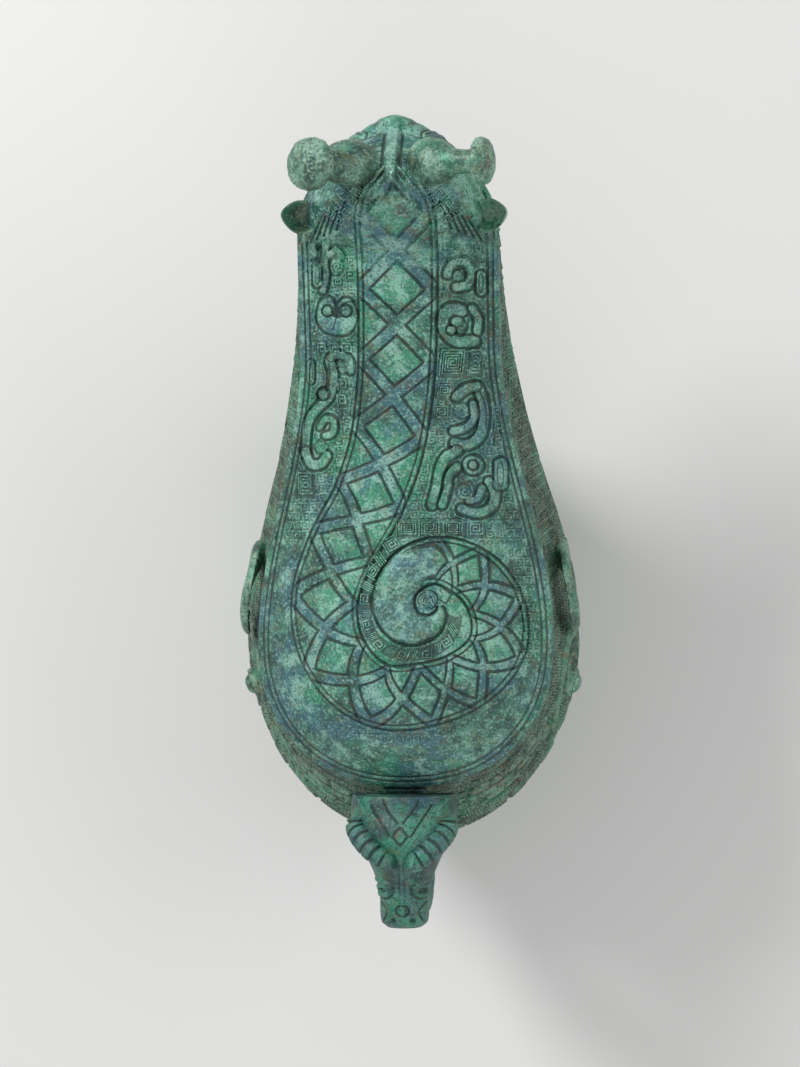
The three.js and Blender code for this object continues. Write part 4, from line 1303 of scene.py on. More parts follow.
def patina_group() -> bpy.types.NodeTree:
    """Layers of green, blue and brown corrosion, a painted highlight on crests and painted shade in hollows,
    with how chalky each place is.

    Returns:
        The group's tree.
    """
    tree = node_group(
        "patina layers",
        {
            "Deep": (0.02, 0.07, 0.05),
            "Green": (0.07, 0.19, 0.13),
            "Mint": (0.25, 0.45, 0.36),
            "Blue": (0.05, 0.15, 0.18),
            "Earth": (0.12, 0.13, 0.08),
            "Mint amount": 0.5,
            "Blue amount": 0.5,
            "Earth amount": 0.3,
            "Hollow": 0.0,
            "Tone": 0.0,
            "Size": 1.0,
        },
        {"Color": "NodeSocketColor", "Chalk": "NodeSocketFloat", "Grain": "NodeSocketFloat"},
    )
    w = Wiring(tree)
    given = tree.nodes["In"].outputs
    place = w.node("ShaderNodeTexCoord").outputs["Object"]
    size = given["Size"]
    broad = w.noise(place, w.times(size, 34.0), 5.0, 0.62)
    middle, fine, grain, blotch, specks = (
        w.noise(w.shifted(place, offset), w.times(size, scale), detail, rough)
        for offset, scale, detail, rough in (
            ((3.1, 1.7, 0.3), 130.0, 6.0, 0.7),
            ((0.7, 5.2, 2.9), 780.0, 4.0, 0.72),
            ((5.5, 0.2, 8.9), 1150.0, 2.0, 0.6),
            ((8.4, 2.2, 6.1), 52.0, 6.0, 0.66),
            ((2.5, 9.1, 4.4), 210.0, 3.0, 0.6),
        )
    )

    base = w.mix(w.ramp(middle, 0.42, 0.56), given["Deep"], given["Green"])
    vivid = w.mix(0.55, given["Green"], (0.02, 0.33, 0.17))
    tone = w.times(given["Tone"], 0.05)
    colour = w.layer(base, w.math("SUBTRACT", broad, tone), 0.48, 0.58, 0.8, vivid)
    colour = w.layer(colour, w.math("ADD", blotch, tone), 0.49, 0.57, given["Blue amount"], given["Blue"])
    mint = w.math("ADD", w.times(broad, 0.35), w.times(middle, 0.65))
    mint_mask = w.times(w.ramp(mint, 0.5, 0.58), given["Mint amount"])
    colour = w.mix(mint_mask, colour, given["Mint"])
    colour = w.layer(colour, specks, 0.55, 0.62, given["Earth amount"], given["Earth"])
    cuprite = w.noise(w.shifted(place, (1.5, 4.1, 7.7)), w.times(size, 85.0), 6.0, 0.72)
    colour = w.layer(colour, cuprite, 0.62, 0.68, 0.65, (0.11, 0.035, 0.02))
    colour = w.layer(colour, fine, 0.53, 0.63, 0.6, given["Mint"])
    colour = w.layer(colour, grain, 0.48, 0.36, 0.8, given["Deep"])
    # Painted highlight: the crests of the relief turn towards mint, partly wear on raised parts and partly
    # light catching them.
    crest = w.ramp(given["Hollow"], 0.05, 0.9)
    crest = w.times(crest, w.math("ADD", 0.15, w.ramp(fine, 0.42, 0.58)))
    colour = w.mix(w.times(crest, 0.5), colour, given["Mint"])
    # Painted shade: the hollows of the relief darken to near black, with a little dirt colour from the
    # specks.
    shade_and_dirt_share = w.times(w.ramp(given["Hollow"], 0.0, -0.75), 0.82)
    shade_and_dirt_colour = w.mix(w.ramp(specks, 0.52, 0.62), (0.009, 0.026, 0.022), (0.034, 0.034, 0.026))
    colour = w.mix(shade_and_dirt_share, colour, shade_and_dirt_colour)
    out = tree.nodes["Out"].inputs
    w.join(colour, out["Color"])
    w.join(w.math("ADD", w.times(mint_mask, 0.5), w.times(fine, 0.5)), out["Chalk"])
    w.join(fine, out["Grain"])
    return tree


def pitting_group() -> bpy.types.NodeTree:
    """Height of a corroded casting: pits, crusts and a fine tooth.

    Returns:
        The group's tree.
    """
    tree = node_group(
        "corroded surface",
        {"Pits": 0.5, "Crust": 0.5, "Tooth": 0.5, "Size": 1.0},
        {"Height": "NodeSocketFloat"},
    )
    w = Wiring(tree)
    given = tree.nodes["In"].outputs
    place = w.node("ShaderNodeTexCoord").outputs["Object"]
    pits = w.node("ShaderNodeTexVoronoi", feature="F1")
    w.join(place, pits.inputs["Vector"])
    w.join(w.times(given["Size"], 420.0), pits.inputs["Scale"])
    where = w.noise(w.shifted(place, (4.0, 1.0, 2.0)), w.times(given["Size"], 60.0), 3.0)
    pit = w.times(w.ramp(pits.outputs["Distance"], 0.34, 0.08), w.ramp(where, 0.48, 0.6))
    crust = w.noise(w.shifted(place, (6.0, 3.0, 1.0)), w.times(given["Size"], 260.0), 6.0, 0.7)
    tooth = w.noise(place, w.times(given["Size"], 1500.0), 3.0, 0.6)
    total = w.times(crust, given["Crust"])
    total = w.math("ADD", total, w.times(tooth, w.times(given["Tooth"], 0.35)))
    total = w.math("SUBTRACT", total, w.times(pit, given["Pits"]))
    w.join(total, tree.nodes["Out"].inputs["Height"])
    return tree


@dataclass(frozen=True)
class Patina:
    """One bronze finish: its corrosion colours and how rough it is."""

    name: str
    deep: Triple = (0.018, 0.06, 0.045)
    green: Triple = (0.07, 0.19, 0.135)
    mint: Triple = (0.24, 0.43, 0.34)
    blue: Triple = (0.055, 0.15, 0.17)
    earth: Triple = (0.15, 0.17, 0.07)
    mint_amount: float = 0.5
    blue_amount: float = 0.5
    earth_amount: float = 0.3
    roughness: float = 0.55
    metallic: float = 0.2
    pits: float = 0.5
    crust: float = 0.6
    depth: float = 0.5

    def material(self) -> bpy.types.Material:
        """The finish as a material, made once.

        Returns:
            The material.
        """
        made = bpy.data.materials.get(self.name)
        if made:
            return made
        made = bpy.data.materials.new(self.name)
        made.use_nodes = True
        w = Wiring(made.node_tree)
        shader = made.node_tree.nodes["Principled BSDF"]
        layers = w.node("ShaderNodeGroup", node_tree=shared_group("patina layers"))
        colours = ("deep", "green", "mint", "blue", "earth")
        for size in (*colours, "mint_amount", "blue_amount", "earth_amount"):
            w.join(getattr(self, size), layers.inputs[size.replace("_", " ").capitalize()])
        for label in ("hollow", "tone"):
            marks = w.node("ShaderNodeAttribute", attribute_name=label)
            w.join(marks.outputs["Fac"], layers.inputs[label.capitalize()])
        w.join(layers.outputs["Color"], shader.inputs["Base Color"])
        chalk = w.node("ShaderNodeMapRange")
        w.join(layers.outputs["Chalk"], chalk.inputs["Value"])
        chalk.inputs["From Min"].default_value = 0.2
        chalk.inputs["From Max"].default_value = 0.7
        chalk.inputs["To Min"].default_value = self.roughness - 0.12
        chalk.inputs["To Max"].default_value = min(self.roughness + 0.25, 0.95)
        w.join(chalk.outputs["Result"], shader.inputs["Roughness"])
        surface = w.node("ShaderNodeGroup", node_tree=shared_group("corroded surface"))
        w.join(self.pits, surface.inputs["Pits"])
        w.join(self.crust, surface.inputs["Crust"])
        bump = w.node("ShaderNodeBump")
        bump.inputs["Strength"].default_value = 0.8
        bump.inputs["Distance"].default_value = self.depth * MM
        w.join(surface.outputs["Height"], bump.inputs["Height"])
        w.join(bump.outputs["Normal"], shader.inputs["Normal"])
        shader.inputs["Metallic"].default_value = self.metallic
        return made


def shared_group(name: str) -> bpy.types.NodeTree:
    """One of the groups that all finishes share, made when first asked for."""
    makers = {"patina layers": patina_group, "corroded surface": pitting_group}
    return bpy.data.node_groups.get(name) or makers[name]()


FINISHES = {
    Slot.MALACHITE: Patina(
        "malachite patina", deep=(0.016, 0.062, 0.052), green=(0.068, 0.21, 0.155),
        mint=(0.32, 0.56, 0.47), blue=(0.045, 0.14, 0.185), mint_amount=0.62, blue_amount=0.7,
        earth_amount=0.35,
    ),
    Slot.PALE: Patina(
        "pale pitted patina", green=(0.1, 0.23, 0.16), mint=(0.3, 0.46, 0.36), mint_amount=0.75,
        blue_amount=0.1, earth_amount=0.4, roughness=0.5,
    ),
    Slot.EARTHY: Patina(
        "earthy patina", deep=(0.016, 0.04, 0.03), green=(0.088, 0.165, 0.115), mint=(0.27, 0.41, 0.31),
        blue=(0.06, 0.135, 0.135), earth=(0.17, 0.145, 0.085), blue_amount=0.25, earth_amount=0.65,
        roughness=0.62,
    ),
    Slot.DARK: Patina(
        "dark blue-green patina", deep=(0.012, 0.035, 0.035), green=(0.035, 0.1, 0.095),
        mint=(0.13, 0.3, 0.24), blue=(0.03, 0.085, 0.13), earth=(0.12, 0.13, 0.05), mint_amount=0.4,
        blue_amount=0.6, earth_amount=0.4, roughness=0.58, crust=0.9,
    ),
}


def dress(piece: bpy.types.Object, body: Body, slot: Slot, replaced: Sequence[str] = ()) -> None:
    """Gives a new piece its finish, its body and the nodes that it stands for.

    Args:
        piece: a finished piece.
        body: that it moves with.
        slot: of its finish.
        replaced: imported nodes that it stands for.
    """
    piece.data.materials.clear()
    piece.data.materials.append(FINISHES[slot].material())
    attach(piece, body.value)
    if replaced:
        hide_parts(*replaced)
    LOG.info("%s: %d faces on %s", piece.name, len(piece.data.polygons), body.value)


# The ground of small cast signs


class Sign(Enum):
    """Small signs that fill the ground between the motifs."""

    SQUARE = "square thunder spiral"
    ROUND = "round spiral"
    HATCH = "slanted hatching"


def square_spiral(turns: int) -> list[Pair]:
    """A square spiral in a square of side 1, with this many turns.

    Args:
        turns: how often it winds.

    Returns:
        Its corners from the outer end inwards.
    """
    pitch = 0.5 / turns
    reach = 0.5 - pitch * 0.3
    line = [(-reach, -reach)]
    while reach > 0.04:
        line += [(-reach, reach), (reach, reach), (reach, -reach + pitch), (-reach + pitch, -reach + pitch)]
        reach -= pitch
    return line[:-1]


def sign_lines(sign: Sign, turns: int) -> list[list[Pair]]:
    """Middle lines of a sign's ribs in a square of side 1.

    Args:
        sign: which sign.
        turns: how often it winds, or how many pairs of ribs it has.

    Returns:
        One line of points for each rib.
    """
    if sign is Sign.SQUARE:
        return [square_spiral(turns)]
    if sign is Sign.ROUND:
        return [[tuple(p) for p in whorl((0.0, 0.0), 0.46, turns * 0.9)]]
    spread = np.linspace(-0.38, 0.38, turns * 2)
    return [[(x - 0.12, -0.46), (x + 0.12, 0.46)] for x in spread]


def sign_mesh(sign: Sign, turns: int) -> bpy.types.Object:
    """A sign as thin raised ribs with sloping sides, in a square of side 1.

    Args:
        sign: which sign.
        turns: how often it winds, or how many pairs of ribs it has.

    Returns:
        An object that isn't linked to any collection.
    """
    points, faces = [], []
    size = RIB_PITCH * turns
    for line in sign_lines(sign, turns):
        way = np.array(line, float)
        legs = unit(np.diff(way, axis=0))
        left = np.stack([-legs[:, 1], legs[:, 0]], -1)
        before, after = np.vstack([left[:1], left]), np.vstack([left, left[-1:]])
        mitre = before + after
        mitre = mitre / np.maximum((mitre * before).sum(axis=1, keepdims=True), 0.35)
        start = len(points)
        for place, out in zip(way, mitre):
            for half, up in ((0.42, -0.7), (0.24, 0.12), (-0.24, 0.12), (-0.42, -0.7)):
                points.append((*(place + out * half / size), up / size))
        for k in range(len(way) - 1):
            a, b = start + 4 * k, start + 4 * k + 4
            faces += [(a + i, a + (i + 1) % 4, b + (i + 1) % 4, b + i) for i in range(4)]
        last = start + 4 * (len(way) - 1)
        faces += [(start + 3, start + 2, start + 1, start), tuple(last + i for i in range(4))]
    mesh = bpy.data.meshes.new(f"{sign.name.lower()}_{turns}")
    mesh.from_pydata([tuple(float(c) for c in p) for p in points], [], faces)
    mesh.update()
    return bpy.data.objects.new(mesh.name, mesh)


@dataclass
class Ground:
    """Signs strewn over a surface in ordered rows."""

    slot: Slot
    seed: int = 5
    unevenness: float = 0.05
    places: dict[tuple[Sign, int], list[tuple]] = field(default_factory=dict)

    def add(self, sign: Sign, place: Array, normal: Array, way: Array, wide: float, high: float) -> None:
        """Notes one sign: its place, the surface's normal, its x direction and its size.

        Args:
            sign: which sign.
            place: its middle, in millimetres.
            normal: of the surface there.
            way: its x direction.
            wide: its width.
            high: its height.
        """
        up = unit(normal)
        right = unit(way - up * float(np.dot(way, up)))
        turn = Matrix((right, np.cross(up, right), up)).transposed().to_euler("XYZ")
        turns = max(int(round((wide + high) / 2 / RIB_PITCH)), 1)
        row = (tuple(place), tuple(turn), (wide, high, (wide + high) / 2))
        self.places.setdefault((sign, turns), []).append(row)

    def tree(self) -> bpy.types.NodeTree:
        """Node tree that stands a sign on every point, built once.

        Returns:
            The tree, with the sign, its finish, unevenness and seed as inputs.
        """
        made = bpy.data.node_groups.get("strew signs")
        if made:
            return made
        tree = bpy.data.node_groups.new("strew signs", "GeometryNodeTree")
        tree.interface.new_socket("Geometry", in_out="INPUT", socket_type="NodeSocketGeometry")
        for label, kind in (
            ("Sign", "NodeSocketObject"), ("Finish", "NodeSocketMaterial"), ("Unevenness", "NodeSocketFloat"),
            ("Seed", "NodeSocketInt"),
        ):
            tree.interface.new_socket(label, in_out="INPUT", socket_type=kind)
        tree.interface.new_socket("Geometry", in_out="OUTPUT", socket_type="NodeSocketGeometry")
        w = Wiring(tree)
        given = w.node("NodeGroupInput").outputs
        points = w.node("GeometryNodeMeshToPoints")
        w.join(given["Geometry"], points.inputs["Mesh"])
        info = w.node("GeometryNodeObjectInfo")
        w.join(given["Sign"], info.inputs["Object"])
        turn, size = (
            w.node("GeometryNodeInputNamedAttribute", data_type="FLOAT_VECTOR") for _ in range(2)
        )
        turn.inputs["Name"].default_value, size.inputs["Name"].default_value = "turn", "size"
        chance = w.node("FunctionNodeRandomValue", data_type="FLOAT")
        w.join(w.math("SUBTRACT", 1.0, given["Unevenness"]), chance.inputs[2])
        w.join(w.math("ADD", 1.0, given["Unevenness"]), chance.inputs[3])
        w.join(given["Seed"], chance.inputs["Seed"])
        grown = w.node("ShaderNodeVectorMath", operation="SCALE")
        w.join(size.outputs["Attribute"], grown.inputs[0])
        w.join(chance.outputs[1], grown.inputs["Scale"])
        stand = w.node("GeometryNodeInstanceOnPoints")
        w.join(points.outputs["Points"], stand.inputs["Points"])
        w.join(info.outputs["Geometry"], stand.inputs["Instance"])
        w.join(turn.outputs["Attribute"], stand.inputs["Rotation"])
        w.join(grown.outputs["Vector"], stand.inputs["Scale"])
        real = w.node("GeometryNodeRealizeInstances")
        w.join(stand.outputs["Instances"], real.inputs["Geometry"])
        finish = w.node("GeometryNodeSetMaterial")
        w.join(real.outputs["Geometry"], finish.inputs["Geometry"])
        w.join(given["Finish"], finish.inputs["Material"])
        w.join(finish.outputs["Geometry"], w.node("NodeGroupOutput").inputs["Geometry"])
        return tree

    def build(self, name: str) -> bpy.types.Object:
        """Strews the signs and bakes them to one plain mesh.

        Args:
            name: of the piece.

        Returns:
            The piece.
        """
        tree = self.tree()
        sockets = {item.name: item.identifier for item in tree.interface.items_tree if item.in_out == "INPUT"}
        whole = bmesh.new()
        for (sign, turns), places in self.places.items():
            mesh = bpy.data.meshes.new("places")
            mesh.from_pydata([tuple(c * MM for c in place) for place, _, _ in places], [], [])
            for label, column, scale in (("turn", 1, 1.0), ("size", 2, MM)):
                values = np.array([row[column] for row in places], float) * scale
                attribute = mesh.attributes.new(label, "FLOAT_VECTOR", "POINT")
                attribute.data.foreach_set("vector", values.astype(np.float32).ravel())
            carrier = linked("places", mesh)
            sample = sign_mesh(sign, turns)
            modifier = carrier.modifiers.new("signs", "NODES")
            modifier.node_group = tree
            modifier[sockets["Sign"]] = sample
            modifier[sockets["Finish"]] = FINISHES[self.slot].material()
            modifier[sockets["Unevenness"]] = self.unevenness
            modifier[sockets["Seed"]] = self.seed
            baked = bpy.data.meshes.new_from_object(
                carrier.evaluated_get(bpy.context.evaluated_depsgraph_get())
            )
            whole.from_mesh(baked)
            bpy.data.objects.remove(carrier)
            bpy.data.objects.remove(sample)
            bpy.data.meshes.remove(baked)
        made = bpy.data.meshes.new(name)
        whole.to_mesh(made)
        whole.free()
        # Every rib takes a little of the crests' mint, painted highlight and wear.
        mark(made, "hollow", np.full(len(made.vertices), 0.35))
        return linked(name, made)


# Sub-assemblies


@dataclass
class Lid:
    """The lift-off lid: slabs of one vault, cut along its middle and where neck, head and dome meet."""

    step: float = 0.31
    rings: int = 146
    under_rings: int = 10
    nape: float = 98.0
    shoulder: float = 15.0
    heel: float = -92.0
    sink: float = 1.5

    def shares(self) -> tuple[Array, dict[str, tuple[int, int]]]:
        """Columns of the right half.

        Returns:
            Their shares of the mouth's half outline, and the first and last column of each slab.
        """
        line = MOUTH_LINE
        marks = [0.0]
        for y in (FORM.spout_round, self.nape, self.shoulder, FORM.widest, self.heel, FORM.mouth_rear):
            marks.append(float(np.interp(-y, -line.y, line.share)))
        marks[-1] = 1.0
        steps = (0.9, 0.6, self.step, self.step, self.step, self.step)
        runs, ends = [np.array([0.0])], [0]
        for low, high, step in zip(marks[:-1], marks[1:], steps):
            count = max(int((high - low) * line.length / step), 1)
            runs.append(np.linspace(low, high, count + 1)[1:])
            ends.append(ends[-1] + count)
        slabs = {"front": (ends[0], ends[2]), "neck": (ends[2], ends[3]), "dome": (ends[3], ends[6])}
        return np.concatenate(runs), slabs

    def build(self) -> list[bpy.types.Object]:
        """Makes the slabs.

        Returns:
            The front, neck and dome pieces of the right and then of the left side.
        """
        shares, slabs = self.shares()
        return [piece for side in (1.0, -1.0) for piece in self.side(shares, slabs, side)]

    def side(self, shares: Array, slabs: dict[str, tuple[int, int]], side: float) -> list[bpy.types.Object]:
        """Makes one side's slabs.

        Args:
            shares: columns of the half outline.
            slabs: first and last column of each slab.
            side: 1 for the right, -1 for the left.

        Returns:
            The side's front, neck and dome pieces.
        """
        edge_x, edge_y = MOUTH_LINE.at(shares)
        edge_x = edge_x * side
        spine = np.clip(edge_y, FORM.widest, FORM.spout_round)
        outwards = np.linspace(0.0, 1.0, self.rings)
        x = edge_x[:, None] * outwards
        y = lerp(spine[:, None], edge_y[:, None], outwards)
        height, hollow = lid_relief(x, y)
        covered = smoothstep(y, self.nape + 0.3, self.nape + 1.5)
        sunk = self.sink * covered * (1.0 - smoothstep(LID.share(x, y), 0.93, 0.98))
        z = LID.top(x, y) + height / LID.lean(x, y) - sunk
        top = np.stack([x, y, z], -1)
        out = self.edge_directions(edge_x, edge_y, side)
        edge = np.stack([edge_x, edge_y, LID.edge_height(edge_y)], -1)
        lip = [
            (0.0, LID.lip - 0.5), (0.0, LID.lip - 1.3), (-0.35, LID.lip - 1.7), (0.0, LID.lip - 2.1),
            (0.0, 0.5), (-0.4, 0.0), (-LID.wall, 0.0), (-LID.wall, LID.lip * 0.4),
        ]
        rings = [edge + out * reach + [0.0, 0.0, up] for reach, up in lip]
        inner = np.linspace(0.94, 0.0, self.under_rings)
        under_x = edge_x[:, None] * inner
        under_y = lerp(spine[:, None], edge_y[:, None], inner)
        under_z = LID.top(under_x, under_y) - LID.wall / LID.lean(under_x, under_y)
        below = np.stack([under_x, under_y, under_z], -1)
        whole = np.concatenate([top, np.stack(rings, 1), below], 1)
        normals = grid_normals(whole, wrap=False) * side
        normals[:, [0, -1], 0] = 0.0
        normals[[0, -1], :, 0] = 0.0
        normals = unit(normals)
        mask = np.zeros((*whole.shape[:2], 2))
        mask[:, : self.rings] = hollow
        made = []
        for name, (first, last) in slabs.items():
            run = slice(first, last + 1)
            made.append(self.slab(f"lid_{name}_{hand(side)}", whole[run], normals[run], mask[run], side))
        return made

    @staticmethod
    def slab(name: str, points: Array, normals: Array, mask: Array, side: float) -> bpy.types.Object:
        """Closes one run of columns at both ends and along the lid's middle.

        Args:
            name: of the piece.
            points: its columns of points.
            normals: directions for smooth shading.
            mask: marks of depth and tone.
            side: 1 for the right, -1 for the left.

        Returns:
            The piece.
        """
        skin = Skin()
        order = slice(None) if side > 0 else slice(None, None, -1)
        index = skin.add_sheet(points[order], normals[order], mask[order])
        skin.add_wall([*index[::-1, 0], *index[:, -1]])
        skin.add_wall(index[0])
        skin.add_wall(index[-1, ::-1])
        return skin.build(name)

    @staticmethod
    def edge_directions(x: Array, y: Array, side: float) -> Array:
        """Level directions outwards along the lid's edge.

        Args:
            x: places across.
            y: places along.
            side: 1 for the right, -1 for the left.

        Returns:
            Unit vectors.
        """
        along = unit(np.stack([np.gradient(x), np.gradient(y)], -1))
        out = np.stack([-along[:, 1], along[:, 0], np.zeros(len(x))], -1) * side
        out[0], out[-1] = [0.0, 1.0, 0.0], [0.0, -1.0, 0.0]
        return out


@dataclass
class DragonHead:
    """The dragon's head over the spout: a skin that grows out of the neck; its horns and ears are pieces of
    their own.
    """

    root: float = 98.0
    length: float = 58.5
    half_width: float = 34.0
    height: float = 38.0
    seat: float = 171.6
    rows: int = 225
    columns: int = 350
    grown: Pair = (101.0, 120.0)
    eye: Pair = (20.5, 139.0)
    muzzle: Stations = Stations(
        [
            (98, 38.1), (106, 37.4), (113, 36.3), (120, 34.9), (128, 32.8), (134, 30.0), (138, 27.8),
            (142, 25.1), (146.4, 20.8), (149.5, 16.4), (152.2, 11.4), (154.4, 7.0), (155.8, 3.8),
            (156.5, 1.4),
        ]
    )
    stations: Stations = Stations(
        [
            (0.0, 0.84, 0.44), (0.2, 0.97, 0.68), (0.36, 1.0, 0.88), (0.52, 0.97, 1.0), (0.66, 0.89, 0.96),
            (0.78, 0.77, 0.7), (0.87, 0.64, 0.52), (0.94, 0.5, 0.53), (0.98, 0.36, 0.47), (1.0, 0.22, 0.3),
        ]
    )

    def outline(self, y: Array) -> tuple[Array, Array, Array]:
        """Half-width, lower height and upper height of the skin at y.

        Args:
            y: places along.

        Returns:
            The three sizes at y.
        """
        along = (y - self.root) / self.length
        high = self.stations.at(along)[..., 1]
        half = self.muzzle.at(y)[..., 0]
        on_lid = LID.top(half, y)
        low = lerp(on_lid, self.seat, smoothstep(y, 118.0, 134.0))
        top = self.seat + self.height * high
        crest = lerp(LID.top(np.zeros_like(y), y), top, smoothstep(y, self.root - 1.0, 112.0))
        return half, low, crest

    def height_at(self, x: float, y: float) -> float:
        """Height of the plain skin over a place.

        Args:
            x: place across.
            y: place along.

        Returns:
            The height in millimetres.
        """
        half, low, crest = (float(v[0]) for v in self.outline(np.array([y])))
        share = min(abs(x) / half, 1.0)
        grown = float(smoothstep(y, *self.grown))
        return low + (crest - low) * lerp(1.0 - share**LID.power, arch_height(share), grown)

    def solid_top(self, x: float, y: float) -> float:
        """Height of the solid head's top over a place.

        Args:
            x: place across.
            y: place along.

        Returns:
            The height in millimetres.
        """
        width, high = self.stations.at(np.array([(y - self.root) / self.length]))[0]
        share = min(abs(x) / (self.half_width * width), 1.0)
        return self.seat + self.height * high * arch_height(share)

    def relief(self, x: Array, y: Array) -> tuple[Array, Array]:
        """Cast relief of the head: the last diamond, brow ridge, brows, snout folds and nostrils.

        Args:
            x: places across.
            y: places along.

        Returns:
            Height over the plain skin, and marks of depth and tone.
        """
        height, marks = lid_relief(x, y)
        lid_part = 1.0 - smoothstep(y, 128.0, 133.0)
        height, mask, tone = height * lid_part * 1.25, marks[..., 0] * lid_part, marks[..., 1] * lid_part
        off = np.abs(x)
        ridge = (1.0 - smoothstep(off, 1.3, 2.7)) * window(y, (126.0, 131.0), (149.0, 154.0))
        height = height + 1.5 * ridge
        # A painted highlight along the brow ridge.
        mask = np.maximum(mask, 0.8 * ridge)
        beside = groove(off - 3.4, 0.9) * window(y, (128.0, 131.0), (147.0, 150.0))
        height, mask = height - 0.6 * beside, mask - 0.8 * beside
        for fold in range(4):
            line = groove(y - (147.2 - fold * 2.6) - 1.6 * np.cos(off * 0.21), 0.55)
            line = line * window(off, (3.5, 5.0), (12.0, 15.0))
            height, mask = height - 0.3 * line, mask - 0.5 * line
        for side in (-1.0, 1.0):
            nostril = np.hypot((x - side * 7.0) / 1.2, y - 152.5)
            height = height + 0.6 * np.exp(-((nostril / 3.4) ** 2)) - 1.1 * np.exp(-((nostril / 1.3) ** 2))
            # Painted shade in the nostrils.
            mask = mask - 0.7 * np.exp(-((nostril / 1.4) ** 2))
        for stroke in self.strokes():
            stroke.press(x, y, height, mask)
        return height, np.stack([np.clip(mask, -1.0, 1.0), tone], -1)

    def strokes(self) -> list[Stroke]:
        """Brow ribs, lips, brows, temple grooves and the grooves round the eyes.

        Returns:
            The strokes in plan, in the order in which they are pressed.
        """
        made = []
        for step in range(4):
            y0 = 133.5 - step * 3.1
            for side in (-1.0, 1.0):
                line = np.array([(side * 2.6, y0), (side * 7.0, y0 - 5.2)])
                made.append(Stroke(line, 0.6, Cut.RIB, 1.0))
        for side in (-1.0, 1.0):
            lip = [(side * 31.0, 133.0), (side * 27.5, 140.5), (side * 22.0, 147.0), (side * 13.0, 152.5)]
            brow = [(side * 12.0, 148.0), (side * 18.0, 149.5), (side * 24.5, 145.0), (side * 28.0, 138.0)]
            made += [Stroke(curve(lip), 0.7, Cut.RIB, 0.4), Stroke(curve(brow), 1.3, Cut.BAND, 0.5)]
            for step in range(5):
                x0 = side * (17.5 + step * 2.7)
                line = np.array([(x0, 121.5 - step * 1.6), (x0 + side * 4.0, 112.0 - step * 0.8)])
                made.append(Stroke(line, 0.5, Cut.LINE, 0.6))
            made.append(Stroke(ring((side * self.eye[0], self.eye[1]), 6.4, 5.4), 0.55, Cut.LINE, 0.7))
        return made

    def even_turns(self, wide: float = 35.0, high: float = 20.0) -> Array:
        """Turns at even steps along an arch with the head's usual half-width and height.

        Args:
            wide: the arch's half-width.
            high: its height.

        Returns:
            One turn for each column.
        """
        turn = np.linspace(0.0, math.pi, 4001)
        way = lengths(np.stack(arch(turn), -1) * [wide, high])
        return np.interp(np.linspace(0.0, way[-1], self.columns), way, turn)

    def build(self) -> bpy.types.Object:
        """Makes the head's skin with an underside that lies on the lid.

        Returns:
            The piece.
        """
        share = np.linspace(0.0, 1.0, self.rows)
        y = self.root + self.length * (1.0 - (1.0 - share) ** 1.2)
        half, low, crest = (v[:, None] for v in self.outline(y))
        across, up = arch(self.even_turns())
        grown = smoothstep(y, *self.grown)[:, None]
        x = half * across
        rows = np.broadcast_to(y[:, None], x.shape).copy()
        z = low + (crest - low) * lerp(1.0 - np.abs(across) ** LID.power, up, grown)
        plain = np.stack([x, rows, z], -1)
        height, hollow = self.relief(x, rows)
        carved = self.carved(x, rows, z - low)
        height = height - 0.8 * carved
        # Painted shade in the grooves between and over the teeth.
        hollow[..., 0] = np.clip(hollow[..., 0] - 1.1 * carved, -1.0, 1.0)
        normals = grid_normals(plain, wrap=False)
        upright = np.array([0.0, 0.0, 1.0]) / np.maximum(normals[..., 2:], 0.5)
        top = plain + height[..., None] * lerp(upright, normals, grown[..., None])
        top[:, 0], top[:, -1] = plain[:, 0], plain[:, -1]
        under = self.under(y, half, low, crest)
        rings = np.concatenate([top, under], 1).transpose(1, 0, 2)[::-1]
        marks = np.concatenate([hollow, np.zeros((*under.shape[:2], 2))], 1).transpose(1, 0, 2)[::-1]
        return tube("dragon_face", rings, grid_normals(rings, wrap=True), marks, True, True)

    @staticmethod
    def carved(x: Array, y: Array, hang: Array) -> Array:
        """1 in the grooves between the teeth and over them, 0 elsewhere, by height over the lower edge.

        Args:
            x: places across.
            y: places along.
            hang: heights over the lower edge.

        Returns:
            Shares from 0 to 1.
        """
        way = np.arctan2(x, y - 120.0) * 31.0
        teeth = groove((way % 4.4) - 2.2, 0.9) * window(hang, (0.2, 0.6), (4.8, 5.3))
        return np.maximum(teeth, groove(hang - 6.0, 0.9)) * smoothstep(y, 118.0, 123.0)

    @staticmethod
    def under(y: Array, half: Array, low: Array, crest: Array, columns: int = 40) -> Array:
        """Points of the underside between its two edges.

        Args:
            y: places along the head.
            half: half-widths there, as a column, like the next two.
            low: heights of the lower edge.
            crest: heights of the head's top.
            columns: how many points lie across, with both edges.

        Returns:
            Rows of points, a little way into the lid.
        """
        x = half * np.linspace(-1.0, 1.0, columns)
        rows = np.broadcast_to(y[:, None], x.shape)
        edge = smoothstep(LID.share(x, rows), 0.88, 0.99)
        z = lerp(LID.top(x, rows) - 1.35, low - 0.02, edge)
        return np.stack([x, rows, np.minimum(z, low + (crest - low) * 0.9)], -1)[:, 1:-1]


